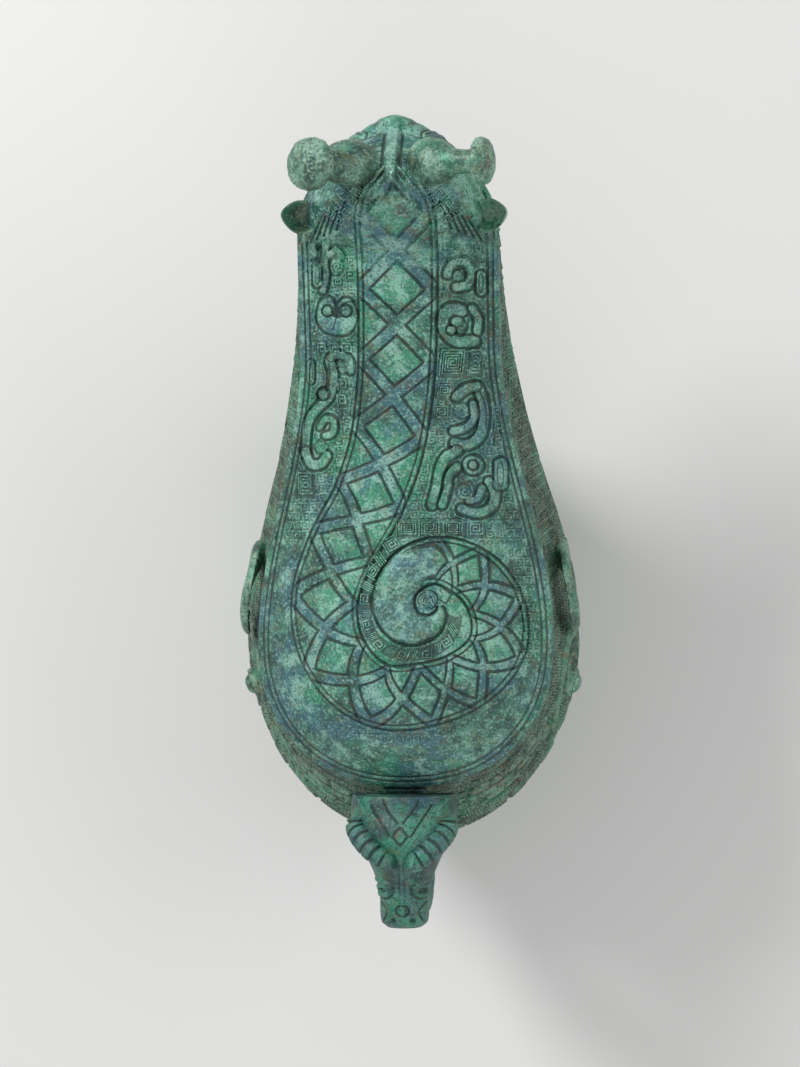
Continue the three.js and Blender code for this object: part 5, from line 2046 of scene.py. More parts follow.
@dataclass
class BottleHorn:
    """One bottle horn: a bulb, a narrow neck and a mushroom cap with a crusted top."""

    side: float
    lean: float
    length: float
    bend: float = 0.0
    stem: float = 7.2
    neck: float = 5.3
    cap: float = 10.0
    cap_thickness: float = 8.0
    back: float = 1.5
    root: Pair = (9.5, 135.5)

    def profile(self) -> Array:
        """Radius and height pairs from the root up to the cap's pole.

        Returns:
            Rows of radius and height, in millimetres.
        """
        waist = self.length - self.cap_thickness
        stem, neck = self.stem, self.neck
        body = Stations(
            [
                (-0.32, stem * 0.8), (0.0, stem * 1.22), (0.14, stem * 1.26), (0.36, stem * 1.14),
                (0.62, neck * 1.18), (0.85, neck), (1.0, neck * 1.06),
            ]
        )
        share = np.linspace(body.rows[0, 0], 1.0, 70)
        shaft = np.stack([body.at(share)[:, 0], share * waist], -1)
        cap = Stations(
            [
                (0.0, self.neck / self.cap, 0.0), (0.14, 0.84, 0.08), (0.26, 0.985, 0.24), (0.38, 1.0, 0.44),
                (0.52, 0.93, 0.68), (0.68, 0.7, 0.86), (0.84, 0.36, 0.96), (1.0, 0.0, 1.0),
            ]
        ).at(np.linspace(0.0, 1.0, 60)[1:])
        return np.vstack([shaft, cap * [self.cap, self.cap_thickness] + [0.0, waist]])

    def build(self, head: DragonHead) -> bpy.types.Object:
        """Makes the horn where the solid has it.

        Args:
            head: the head that it stands on.

        Returns:
            The piece.
        """
        turn = full_turn(140)
        radius, up = self.profile().T
        x, y = np.cos(turn)[:, None] * radius, np.sin(turn)[:, None] * radius
        waist = self.length - self.cap_thickness
        on_cap = smoothstep(up, waist, waist + 1.5)
        points = np.stack([x, y, np.broadcast_to(up, x.shape)], -1)
        away = unit(points - [0.0, 0.0, waist + self.cap_thickness * 0.4])
        crust = value_noise(points + self.side * 40.0, 1.7, 11) * 0.28 + value_noise(points, 0.8, 12) * 0.18
        line = np.clip(-crust * 2.2, 0.0, 1.0) * on_cap
        lump = value_noise(points + self.side * 40.0, 6.0, 13)[..., None] * unit(points * [1, 1, 0]) * 0.35
        points = points + lump + away * (crust * on_cap)[..., None]
        share = np.clip(points[..., 2] / waist, 0.0, 1.0)
        lean = np.radians(self.lean + self.bend * (share - 0.5)) * self.side
        middle = np.radians(self.lean + self.bend * (share / 2 - 0.5)) * self.side
        cos, sin = np.cos(lean), np.sin(lean)
        inner = np.minimum(points[..., 2], waist)
        over = points[..., 2] - inner
        turned = np.stack(
            [
                points[..., 0] * cos + inner * np.sin(middle) + over * sin,
                points[..., 1] - self.back * share**1.5,
                inner * np.cos(middle) + over * cos - points[..., 0] * sin,
            ],
            -1,
        )
        placed = turned + [self.root[0] * self.side, self.root[1], head.solid_top(*self.root) - 1.0]
        normals = grid_normals(placed, wrap=True)
        normals[:, -1] = np.stack([sin[:, -1], np.zeros(len(turn)), cos[:, -1]], -1)
        # Painted shade in the dips of the crust and a painted highlight on the cap.
        mask = np.clip(-0.9 * line + 0.35 * on_cap, -1, 1)
        return tube(f"horn_{hand(self.side)}", placed, normals, mask, start=True)


@dataclass
class Ear:
    """One ear: a hollow, rounded leaf that stands out from the temple."""

    side: float
    root: Triple = (30.0, 116.5, 187.5)
    way: Triple = (0.8, 0.12, 0.58)
    length: float = 15.0
    half_width: float = 6.4
    cup: float = 4.6
    wall: float = 1.7

    def build(self) -> bpy.types.Object:
        """Makes the ear's inner and outer faces as one closed leaf.

        Returns:
            The piece.
        """
        out = unit(np.array(self.way) * [self.side, 1.0, 1.0])
        wide = unit(np.cross([0.0, 0.0, 1.0], out)) * self.side
        face = unit(np.cross(out, wide))
        face = face * np.sign(face[2])
        share = np.linspace(0.0, 1.0, 50)
        half = self.half_width * np.sin(np.clip(share * 0.85 + 0.15, 0, 1) * math.pi).clip(0, 1) ** 0.62
        half[-1] = 0.05
        across = np.linspace(-1.0, 1.0, 40)
        along = share[:, None] * self.length
        side = half[:, None] * across
        bowl = self.cup * (across**2 - 1.0) * (half[:, None] / self.half_width)
        base = np.array(self.root) * [self.side, 1.0, 1.0]
        middle = base + along[..., None] * out + side[..., None] * wide
        edge = np.sqrt(np.clip(1.0 - across**4, 0.0, 1.0)) * np.clip((1 - share) * 8, 0.15, 1)[:, None]
        front = middle + (bowl + self.wall * 0.5 * edge)[..., None] * face
        back = middle + (bowl - self.wall * 0.5 * edge)[..., None] * face
        loop = np.concatenate([front, back[:, -2:0:-1]], 1).transpose(1, 0, 2)
        # Painted shade inside the cup and a painted highlight on its rim.
        rim = np.maximum(smoothstep(np.abs(across), 0.8, 0.88), smoothstep(share, 0.86, 0.92)[:, None])
        hollow = np.concatenate([lerp(-0.2, 1.0, rim), lerp(0.1, 0.8, rim[:, -2:0:-1])], 1).T
        if float(np.dot(np.cross(wide, out), face)) < 0:
            loop, hollow = loop[::-1], hollow[::-1]
        return tube(f"ear_{hand(self.side)}", loop, grid_normals(loop, wrap=True), hollow, True, True)


@dataclass
class Boss:
    """A round boss: an eye with a raised rim and a sunk pupil."""

    name: str
    place: Triple
    out: Triple
    radius: float = 5.0
    rise: float = 3.2

    def build(self) -> bpy.types.Object:
        """Makes the boss.

        Returns:
            The piece.
        """
        profile = Stations(
            [
                (0.0, 1.0, -0.5), (0.12, 1.0, 0.0), (0.24, 0.93, 0.34), (0.34, 0.8, 0.42), (0.42, 0.7, 0.36),
                (0.55, 0.6, 0.62), (0.7, 0.42, 0.88), (0.82, 0.24, 0.98), (0.88, 0.15, 0.9), (1.0, 0.0, 0.84),
            ]
        ).at(np.linspace(0.0, 1.0, 46))
        share, rise = profile.T
        up = unit(np.array(self.out, float))
        right = unit(np.cross([0.0, 1.0, 0.3], up))
        ahead = np.cross(up, right)
        turn = full_turn(64)
        spoke = np.cos(turn)[:, None] * right + np.sin(turn)[:, None] * ahead
        points = np.array(self.place) + spoke[:, None, :] * (share * self.radius)[None, :, None]
        points = points + up * (rise * self.rise)[None, :, None]
        normals = grid_normals(points, wrap=True)
        normals[:, -1] = up
        # Painted shade in the sunk pupil and the groove round it, a slight painted highlight elsewhere.
        mask = np.where(share < 0.2, -0.8, np.where(np.abs(share - 0.72) < 0.06, -0.9, 0.3))
        return tube(self.name, points, normals, np.broadcast_to(mask, points.shape[:2]), start=True)


def wall_net(shares: Array, levels: Array) -> Array:
    """Points of the plain wall on a net of shares and levels."""
    return vessel_point(*np.meshgrid(shares, levels, indexing="ij"))


@dataclass
class WallWay:
    """Lengths on the vessel's wall: round from its rear, and up from its foot."""

    round_length: float = BELLY_LINE.length
    columns: int = 160
    rows: int = 200

    def __post_init__(self) -> None:
        """Measures the columns of a net over the wall."""
        self.levels = np.linspace(0.0, 2.0, self.rows + 1)
        points = wall_net(np.linspace(0.0, 1.0, self.columns + 1), self.levels)
        steps = np.linalg.norm(np.diff(points, axis=1), axis=-1)
        self.up = np.concatenate([np.zeros((self.columns + 1, 1)), np.cumsum(steps, axis=1)], axis=1)

    def of(self, share: Array, level: Array) -> tuple[Array, Array, Array]:
        """Lengths to places on the wall.

        Args:
            share: way round the right half, as for vessel_point.
            level: level, as for vessel_point.

        Returns:
            Way round, way up from the widest line, and way down from the lip.
        """
        row = share * self.columns
        low = np.clip(row.astype(int), 0, self.columns - 1)
        part = row - low
        column = level * (self.rows / 2)
        base = np.clip(column.astype(int), 0, self.rows - 1)
        rest = column - base
        one = lerp(self.up[low, base], self.up[low, base + 1], rest)
        two = lerp(self.up[low + 1, base], self.up[low + 1, base + 1], rest)
        up = lerp(one, two, part)
        lip = lerp(self.up[low, -1], self.up[low + 1, -1], part)
        middle = lerp(self.up[low, self.rows // 2], self.up[low + 1, self.rows // 2], part)
        return (1.0 - share) * self.round_length, up - middle, lip - up

    def column(self, way: float) -> tuple[float, Array]:
        """Share at a way round, and ways up from the widest line in the net's nearest column.

        Args:
            way: way round from the rear.

        Returns:
            The share, and the column's ways up.
        """
        share = min(max(1.0 - way / self.round_length, 0.0), 1.0)
        column = self.up[int(round(share * self.columns))]
        return share, column - column[self.rows // 2]

    def back(self, way: float, up: float) -> Pair:
        """Share and level of a place given by its way round and way up from the widest line."""
        share, column = self.column(way)
        return share, float(np.interp(up, column, self.levels))


WALL = WallWay()


def wall_strokes() -> list[Stroke]:
    """The big rear mask, its body and the dragons beside the throat.

    Returns:
        Strokes by their way round from the rear and way up from the widest line.
    """
    bands = (
        (2.6, ((70, 12), (80, 21), (95, 23), (108, 19), (116, 11))),
        (2.2, ((82, -3), (90, -9), (101, -9), (110, -3), (116, 4))),
        (3.0, ((10, 26), (11, 12), (13, -2), (18, -16), (28, -24), (38, -19), (38, -9), (30, -6))),
        (2.8, ((24, 30), (34, 32), (45, 26), (50, 14), (46, 4), (53, -8), (64, -10), (70, -2), (64, 5))),
        (2.8, ((30, -36), (52, -38), (78, -34), (98, -27), (112, -18), (116, -8))),
        (2.0, ((46, -27), (58, -22), (72, -20), (84, -22))),
        (2.3, ((128, -6), (138, -14), (150, -12), (156, -2), (150, 7), (139, 7), (130, 0))),
        (3.0, ((126, -22), (146, -28), (168, -26), (184, -14), (190, 4), (184, 20), (172, 24), (166, 14))),
        (2.8, ((196, -24), (206, -8), (208, 14), (203, 34), (190, 44), (178, 38), (180, 30))),
        (2.6, ((214, -14), (222, 8), (224, 34), (220, 60), (212, 80), (203, 84), (199, 76))),
        (2.4, ((232, 6), (238, 34), (237, 64), (233, 92), (226, 108))),
        (2.0, ((196, 60), (190, 66), (183, 60), (176, 52))),
        (1.7, ((60, -44), (66, -50), (76, -50), (80, -44))),
        (1.7, ((86, -40), (92, -47), (102, -45), (104, -39))),
    )
    made = [Stroke(curve(points), half, Cut.BAND, 0.5) for half, points in bands]
    made.append(Stroke(ring((98, 6.5), 9.8, 9.0), 0.8, Cut.RIB, 0.5))
    made.append(Stroke(ring((142, -3), 5.0, 4.6), 1.2, Cut.PLATE, 0.5))
    for x, y, reach, start in (
        (33, -14, 4.4, 90), (62, 24, 5.0, 200), (178, 6, 6.0, 20), (196, 26, 5.0, 120), (213, 64, 4.6, 60),
    ):
        made.append(Stroke(whorl((x, y), reach, 1.6, start), 0.6, Cut.RIB, 0.5))
    for step in range(3):
        for number in range(5 - step):
            x, y = 26.0 + number * 8.4 + step * 4.2, 34.0 - step * 5.6
            made.append(Stroke(np.array([(x - 2.4, y), (x + 2.4, y)]), 2.2, Cut.PLATE, 0.45))
    return made


WALL_STROKES = wall_strokes()


def wall_relief(share: Array, level: Array) -> tuple[Array, Array]:
    """Cast relief of the vessel's wall: height over the plain wall, and depth mask.

    Args:
        share: way round the right half, as for vessel_point.
        level: level, as for vessel_point.

    Returns:
        Height over the plain wall in millimetres, and a mask from -1 to 1.
    """
    way, up, down = WALL.of(share, level)
    height, mask = np.zeros_like(way), np.zeros_like(way)
    bed = smoothstep(down, 13.0, 13.6) * smoothstep(up, -43.0, -42.4)
    frieze = window(down, (4.6, 5.0), (10.2, 10.6))
    ground = np.maximum(bed, frieze)
    # Painted shade on the sunk ground and in the grooves; the strokes add highlight and shade as they press.
    height -= 0.38 * ground
    mask -= 0.45 * ground
    for stroke in WALL_STROKES:
        stroke.press(way, up, height, mask)
    seat = smoothstep(way, 4.0, 8.0)
    lines = np.maximum(groove(down - 3.0, 0.6), groove(down - 12.0, 0.6))
    lines = np.maximum(lines, groove(up + 46.0, 0.7))
    return (height - 0.45 * lines) * seat, np.clip((mask - 0.8 * lines) * seat, -1.0, 1.0)


@dataclass
class Vessel:
    """The vessel's wall in four closed parts, and the signs on it."""

    columns: int = 420
    rows: int = 250
    inner_rows: int = 16
    split: float = 0.46
    cell: float = 5.0
    frieze_sign: float = 4.6

    def build(self) -> list[bpy.types.Object]:
        """Makes the four parts of the wall."""
        return [piece for side in (1.0, -1.0) for piece in self.side(side)]

    def side(self, side: float) -> list[bpy.types.Object]:
        """Makes the front and rear part of one side.

        Args:
            side: 1 for the right, -1 for the left.

        Returns:
            The front and the rear piece.
        """
        shares, levels = np.linspace(0.0, 1.0, self.columns), np.linspace(0.0, 2.0, self.rows)
        plain = wall_net(shares, levels)
        height, hollow = wall_relief(*np.meshgrid(shares, levels, indexing="ij"))
        height = height * (1.0 - smoothstep(levels, 1.985, 2.0)) * smoothstep(levels, 0.0, 0.02)
        outer = plain + self.level_ends(-grid_normals(plain, wrap=False)) * height[..., None]
        inner_levels = np.linspace(2.0, 0.06, self.inner_rows)
        inside = wall_net(shares, inner_levels)
        into = self.level_ends(grid_normals(inside, wrap=False))
        flat = unit(into * [1.0, 1.0, 0.0])
        inside = inside - np.where((inner_levels > 1.0)[:, None], flat, into) * FORM.wall
        lip = lerp(outer[:, -1], inside[:, 0], 0.25)
        middle = np.array([0.0, FORM.foot_centre, 0.0])
        floor = inside[:, -1:] * [1.0, 1.0, 0.0] + [0.0, 0.0, FORM.foot_height + FORM.wall]
        floors = [lerp(floor[:, 0], middle + [0.0, 0.0, floor[0, 0, 2]], t) for t in (0.35, 0.7, 1.0)]
        soles = [lerp(middle + [0.0, 0.0, FORM.foot_height], outer[:, 0], t) for t in (0.0, 0.45, 0.9)]
        whole = np.concatenate([np.stack(soles, 1), outer, lip[:, None], inside, np.stack(floors, 1)], 1)
        whole = whole * [side, 1.0, 1.0]
        shading = self.level_ends(grid_normals(whole, wrap=False) * -side)
        mask = np.zeros(whole.shape[:2])
        mask[:, 3 : 3 + self.rows] = hollow
        # Painted shade over the inside of the wall and the floor.
        mask[:, 3 + self.rows + 1 :] = -0.5
        cut = int(self.columns * self.split)
        order = slice(None, None, -1) if side > 0 else slice(None)
        made = []
        for part, run in (("front", slice(0, cut + 1)), ("rear", slice(cut, None))):
            skin = Skin()
            index = skin.add_sheet(whole[run][order], shading[run][order], mask[run][order])
            skin.add_wall(index[0])
            skin.add_wall(index[-1, ::-1])
            made.append(skin.build(f"wall_{part}_{hand(side)}"))
        return made

    @staticmethod
    def level_ends(normals: Array) -> Array:
        """Unit normals that lie in the mirror plane at the first and the last column."""
        normals[[0, -1], :, 0] = 0.0
        return unit(normals)

    def ground(self) -> Ground:
        """Notes the small signs between the wall's motifs and in its frieze.

        Returns:
            The signs, ready to be strewn.
        """
        ground = Ground(Slot.EARTHY, seed=8)
        for way in np.arange(9.0, WALL.round_length - 2.0, self.cell):
            lip = WALL.column(way)[1][-1]
            self.sign(ground, way, lip - 7.6, self.frieze_sign)
            for up in np.arange(-40.0, lip - 16.0, self.cell):
                place = np.array([way]), np.array([up])
                clear = min(float(s.distance(*place)[0]) - s.half_width for s in WALL_STROKES)
                if clear > 1.9:
                    self.sign(ground, way, up, self.cell * (0.9 if clear > 3.0 else 0.58))
        return ground

    @staticmethod
    def sign(ground: Ground, way: float, up: float, size: float) -> None:
        """Notes one sign on both sides of the wall.

        Args:
            ground: that takes the sign.
            way: way round from the rear.
            up: way up from the widest line.
            size: of the sign.
        """
        share, level = WALL.back(way, up)
        if not 0.005 < share < 0.995 or level > 1.97:
            return
        step = 0.002
        about = np.array([(share, level), (share + step, level), (share, level + step)])
        here, beside, above = vessel_point(about[:, 0], about[:, 1])
        normal = np.cross(above - here, beside - here)
        for side in (1.0, -1.0):
            flip = np.array([side, 1.0, 1.0])
            ground.add(Sign.SQUARE, here * flip, normal * flip, (here - beside) * flip * side, size, size)


@dataclass
class HandleHead:
    """The horned animal head on the handle: skin, horns and eyes."""

    root: float = -104.0
    aside: float = -1.3
    length: float = 52.5
    half_width: float = 21.0
    height: float = 30.0
    seat: float = 122.5
    rows: int = 150
    columns: int = 130
    stations: Stations = Stations(
        [
            (0.0, 0.97, 0.74), (0.15, 1.0, 0.92), (0.32, 0.88, 0.97), (0.48, 0.7, 0.84), (0.62, 0.55, 0.68),
            (0.76, 0.47, 0.58), (0.9, 0.46, 0.52), (0.97, 0.43, 0.44), (1.0, 0.34, 0.34),
        ]
    )
    horn_line: Stations = Stations(
        [
            (0, 0.17, 0.8, -0.5), (1, 0.25, 0.84, 0.0), (2, 0.33, 0.76, 0.32), (3, 0.41, 0.6, 0.5),
            (4, 0.47, 0.37, 0.6), (5, 0.46, 0.17, 0.66),
        ]
    )

    def top(self, x: Array, y: Array) -> Array:
        """Height of the plain skin.

        Args:
            x: places across.
            y: places along.

        Returns:
            Heights in millimetres.
        """
        width, high = np.moveaxis(self.stations.at((self.root - y) / self.length), -1, 0)
        share = np.minimum(np.abs(x) / (width * self.half_width), 1.0)
        return self.seat + self.height * high * arch_height(share)

    def relief(self, x: Array, y: Array) -> tuple[Array, Array]:
        """Forehead diamond, brow lines, eyes, nose boss, nostrils and muzzle lines.

        Args:
            x: places across.
            y: places along.

        Returns:
            Height over the plain skin, and depth mask.
        """
        height, mask = np.zeros_like(x), np.zeros_like(x)
        diamond = np.array([(0.0, -115.0), (3.0, -118.8), (0.0, -122.6), (-3.0, -118.8), (0.0, -115.0)])
        strokes = [
            Stroke(diamond, 0.6, Cut.LINE, 0.6),
            Stroke(np.array([(0.0, -131.0), (0.0, -150.0)]), 1.0, Cut.RIB, 0.9),
            Stroke(ring((0.0, -149.0), 2.6, 2.2), 0.5, Cut.LINE, 0.5),
        ]
        for side in (-1.0, 1.0):
            mirror = np.array([side, 1.0])
            inner_brow = np.array([(1.0, -113.6), (4.6, -109.0), (7.0, -105.0)])
            temple = curve([(17.6, -105.0), (14.6, -109.0), (16.4, -113.4)])
            outer_brow = np.array([(4.2, -118.8), (8.0, -113.0), (12.0, -107.0)])
            lid = curve([(11.5, -137.0), (8.0, -137.2), (4.6, -139.2)])
            cheek = curve([(9.0, -146.0), (6.4, -149.4), (7.6, -153.0)])
            nostril = np.array([(3.9, -153.2), (4.1, -153.3)])
            strokes += [
                Stroke(inner_brow * mirror, 0.55, Cut.LINE, 0.6),
                Stroke(temple * mirror, 0.7, Cut.RIB, 0.7),
                Stroke(outer_brow * mirror, 0.55, Cut.LINE, 0.6),
                Stroke(ring((side * 7.6, -141.0), 2.6, 2.0), 0.9, Cut.PLATE, 1.1),
                Stroke(lid * mirror, 0.9, Cut.RIB, 0.9),
                Stroke(cheek * mirror, 0.55, Cut.LINE, 0.6),
                Stroke(nostril * mirror, 1.4, Cut.LINE, 1.0),
            ]
        for stroke in strokes:
            stroke.press(x, y, height, mask)
        return height, np.clip(mask, -1.0, 1.0)

    def build(self) -> bpy.types.Object:
        """Makes the head's skin.

        Returns:
            The piece.
        """
        share = np.linspace(0.0, 1.0, self.rows)
        y = self.root - self.length * share
        width, high = self.stations.at(share).T
        turn = np.linspace(0.0, math.pi, self.columns)
        across, up = arch(turn)
        x = (width * self.half_width)[:, None] * across
        z = self.seat + (self.height * high)[:, None] * up
        rows = np.broadcast_to(y[:, None], x.shape).copy()
        plain = np.stack([x, rows, z], -1)
        normals = -grid_normals(plain, wrap=False)
        height, hollow = self.relief(x, rows)
        height = height * smoothstep(np.sin(turn), 0.25, 0.5)
        top = plain + normals * height[..., None]
        under = np.linspace(0.0, 1.0, 12)[1:-1, None]
        base = lerp(top[:, -1][:, None], top[:, 0][:, None], under)
        loop = np.concatenate([top, base], 1).transpose(1, 0, 2) + [self.aside, 0.0, 0.0]
        mask = np.concatenate([hollow, np.zeros(base.shape[:2])], 1).T
        return tube("handle_face", loop, grid_normals(loop, wrap=True), mask, True, True)

    def horn(self, side: float) -> bpy.types.Object:
        """Makes one curled horn with radial grooves, lying on the head's side and brow.

        Args:
            side: 1 for the right, -1 for the left.

        Returns:
            The piece.
        """
        share = np.linspace(0.0, 5.0, 150)
        along, across, up = self.horn_line.at(share).T
        width = self.stations.at(along)[:, 0] * self.half_width
        x, y = across * width, self.root - along * self.length
        radius = lerp(5.2, 3.9, smoothstep(share, 0.6, 4.4))
        z = self.top(x, y) + up * radius
        middle = np.stack([x * side + self.aside, y, z], -1)
        tangent = unit(np.gradient(middle, axis=0))
        right = unit(np.cross(tangent, [0.0, 0.0, 1.0]))
        above = np.cross(right, tangent)
        ribs = groove((lengths(middle) % 4.0) - 2.0, 0.8) * (share < 4.55)
        size = radius * rounded(share, 4.5, 0.5) * rounded(-share, -0.5, 0.5) * (1.0 - 0.2 * ribs)
        turn = full_turn(56)
        spoke = np.cos(turn)[:, None, None] * right + np.sin(turn)[:, None, None] * above
        points = middle + spoke * size[None, :, None]
        points[:, [0, -1]] = middle[[0, -1]]
        normals = grid_normals(points, wrap=True)
        half_way = len(share) // 2
        if float((normals[:, half_way] * spoke[:, half_way]).sum()) < 0:
            points, normals = points[::-1], -normals[::-1]
        normals[:, 0], normals[:, -1] = -tangent[0], tangent[-1]
        # Painted shade in the grooves between the ribs; the rest takes a little of the crests' mint, painted
        # highlight and wear.
        mask = np.broadcast_to(0.35 - 1.2 * ribs, points.shape[:2])
        return tube(f"curled_horn_{hand(side)}", points, normals, mask)


def flank_at(y: Array, z: Array) -> Array:
    """Places on the wall's right side at lengths y and heights z.

    Args:
        y: lengths.
        z: heights.

    Returns:
        Rows of x, y and z.
    """
    share = np.linspace(0.05, 0.98, 260)
    lip = FORM.lip_height(MOUTH_LINE.at(share)[1])
    found = []
    for y0, z0 in zip(y, z):
        below = np.arccos(np.clip((FORM.belly_height - z0) / (FORM.belly_height - FORM.foot_height), -1, 1))
        above = (z0 - FORM.belly_height) / (lip - FORM.belly_height)
        level = np.where(z0 > FORM.belly_height, 1.0 + above, 1 - below / (math.pi / 2))
        line = vessel_point(share, np.clip(level, 0.0, 2.0))
        found.append([np.interp(-y0, -line[:, 1], line[:, 0]), y0, z0])
    return np.array(found)


@dataclass
class MaskHorn:
    """A hooked horn of the rear mask: a thin toothed plate that bends away from the wall."""

    side: float
    line: Stations = Stations(
        [
            (0, -6.5, 94.5, -1.5), (1, -9.5, 101.0, 1.4), (2, -15.5, 107.5, 5.4), (3, -24.0, 110.0, 7.5),
            (4, -32.5, 107.0, 7.5), (5, -37.0, 100.5, 5.6), (6, -34.5, 95.5, 3.6),
        ]
    )
    half_width: float = 5.0
    thickness: float = 1.5

    def build(self) -> bpy.types.Object:
        """Makes the horn with teeth along its hollow side.

        Returns:
            The piece.
        """
        share = np.linspace(0.0, 6.0, 190)
        y, z, reach = self.line.at(share).T
        wall = flank_at(y, z)
        middle = wall + reach[:, None] * [1.0, 0.0, 0.0]
        tangent = unit(np.gradient(middle, axis=0))
        out = np.array([1.0, 0.0, 0.12])
        wide = unit(np.cross(tangent, out))
        face = np.cross(wide, tangent)
        teeth = groove((lengths(middle) % 2.7) - 1.35, 0.7) * window(share, (1.2, 1.8), (5.0, 5.6))
        ends = rounded(share, 5.2, 0.8) * rounded(-share, -0.5, 0.5)
        half = lerp(4.3, self.half_width, smoothstep(share, 0.5, 2.0)) * ends
        thick = lerp(3.4, self.thickness, smoothstep(share, 0.8, 2.4)) * ends
        turn = full_turn(72)
        across = np.sign(np.cos(turn)) * np.abs(np.cos(turn)) ** 0.8
        up = np.sin(turn)
        inward = np.clip(-up, 0.0, 1.0)
        bow = -1.5 * (across**2)[:, None] * smoothstep(share, 1.0, 2.5) * ends
        depth = thick * (1.0 - 0.75 * inward[:, None] * teeth)
        points = (
            middle
            + (across[:, None] * half)[..., None] * wide
            + (up[:, None] * depth + bow)[..., None] * face
        )
        points[:, [0, -1]] = middle[[0, -1]]
        # The outer face takes a painted highlight, the face towards the wall and the gaps between the teeth
        # painted shade.
        mask = 0.4 * up[:, None] - 1.1 * inward[:, None] * teeth
        mirror = np.array([self.side, 1.0, 1.0])
        points = points * mirror
        if self.side > 0:
            points, mask = points[::-1], mask[::-1]
        normals = grid_normals(points, wrap=True)
        normals[:, 0], normals[:, -1] = tangent[0] * mirror, -tangent[-1] * mirror
        return tube(f"hooked_horn_{hand(self.side)}", points, normals, mask)


@dataclass
class WornNode:
    """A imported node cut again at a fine, even step, with rounded edges, cast lines and a cast's waves."""

    node: str
    step: float = 0.8
    waves: float = 0.14
    lines: Callable[[Array], Array] | None = None
    aside: float = 0.0

    def build(self) -> bpy.types.Object:
        """Makes the worn piece from a merged copy of the solid.

        Returns:
            The piece.
        """
        source = frame["nodes"][self.node]
        shape = bmesh.new()
        shape.from_mesh(source.data)
        shape.transform(source.matrix_world)
        bmesh.ops.remove_doubles(shape, verts=shape.verts, dist=2e-6)
        data = bpy.data.meshes.new(self.node + "_copy")
        shape.to_mesh(data)
        shape.free()
        carrier = linked(data.name, data)
        even = carrier.modifiers.new("even", "REMESH")
        even.mode = "VOXEL"
        even.voxel_size = self.step * MM
        soft = carrier.modifiers.new("soft", "SMOOTH")
        soft.factor, soft.iterations = 0.5, 3
        mesh = bpy.data.meshes.new_from_object(carrier.evaluated_get(bpy.context.evaluated_depsgraph_get()))
        bpy.data.objects.remove(carrier)
        mesh.name = self.node + "_worn"
        count = len(mesh.vertices)
        points, normals = np.empty(count * 3, np.float32), np.empty(count * 3, np.float32)
        mesh.vertices.foreach_get("co", points)
        mesh.vertices.foreach_get("normal", normals)
        points, normals = points.reshape(-1, 3) / MM, normals.reshape(-1, 3)
        height = self.waves * value_noise(points, 4.0, 21) + 0.5 * self.waves * value_noise(points, 1.8, 22)
        cast = self.lines(points) if self.lines else np.zeros(count)
        points = points + normals * (height + 0.5 * cast)[:, None]
        points[:, 2] = np.maximum(points[:, 2], 0.0)
        points[:, 0] += self.aside
        mesh.vertices.foreach_set("co", (points * MM).astype(np.float32).ravel())
        # Painted shade in the cast lines and a faint painted highlight elsewhere.
        mark(mesh, "hollow", np.clip(cast + 0.1, -1, 1))
        mesh.polygons.foreach_set("use_smooth", np.ones(len(mesh.polygons), bool))
        mesh.update()
        return linked(mesh.name, mesh)


def foot_lines(points: Array) -> Array:
    """Two grooves round the foot, with a row of slanted bars between them.

    Args:
        points: places on the foot.

    Returns:
        -1 in the grooves to 0 beside them.
    """
    z = points[:, 2]
    turn = np.arctan2(points[:, 1] - FORM.foot_centre, points[:, 0])
    bars = groove(((turn * 54 + z * 0.5) % 5.0) - 2.5, 0.8) * (np.abs(z - 13.0) < 4.4)
    outside = np.hypot(points[:, 0] / 43.0, (points[:, 1] - FORM.foot_centre) / 64.0) > 1.0
    lines = np.maximum(groove(z - 19.0, 0.8), groove(z - 7.0, 0.8))
    return -np.maximum(lines, 0.8 * bars) * outside


def loop_lines(points: Array) -> Array:
    """Grooves down the loop's outer side, with scales between them.

    Args:
        points: places on the loop.

    Returns:
        -1 in the grooves to 0 beside them.
    """
    outer = (points[:, 1] < -140.0) * (points[:, 2] < 112.0)
    sides = groove(np.abs(points[:, 0]) - 5.6, 0.8)
    scale = (points[:, 2] + 1.6 * np.cos(points[:, 0] * 0.55)) % 9.0
    return -np.maximum(sides, groove(scale - 4.5, 0.8) * (np.abs(points[:, 0]) < 5.0)) * outer


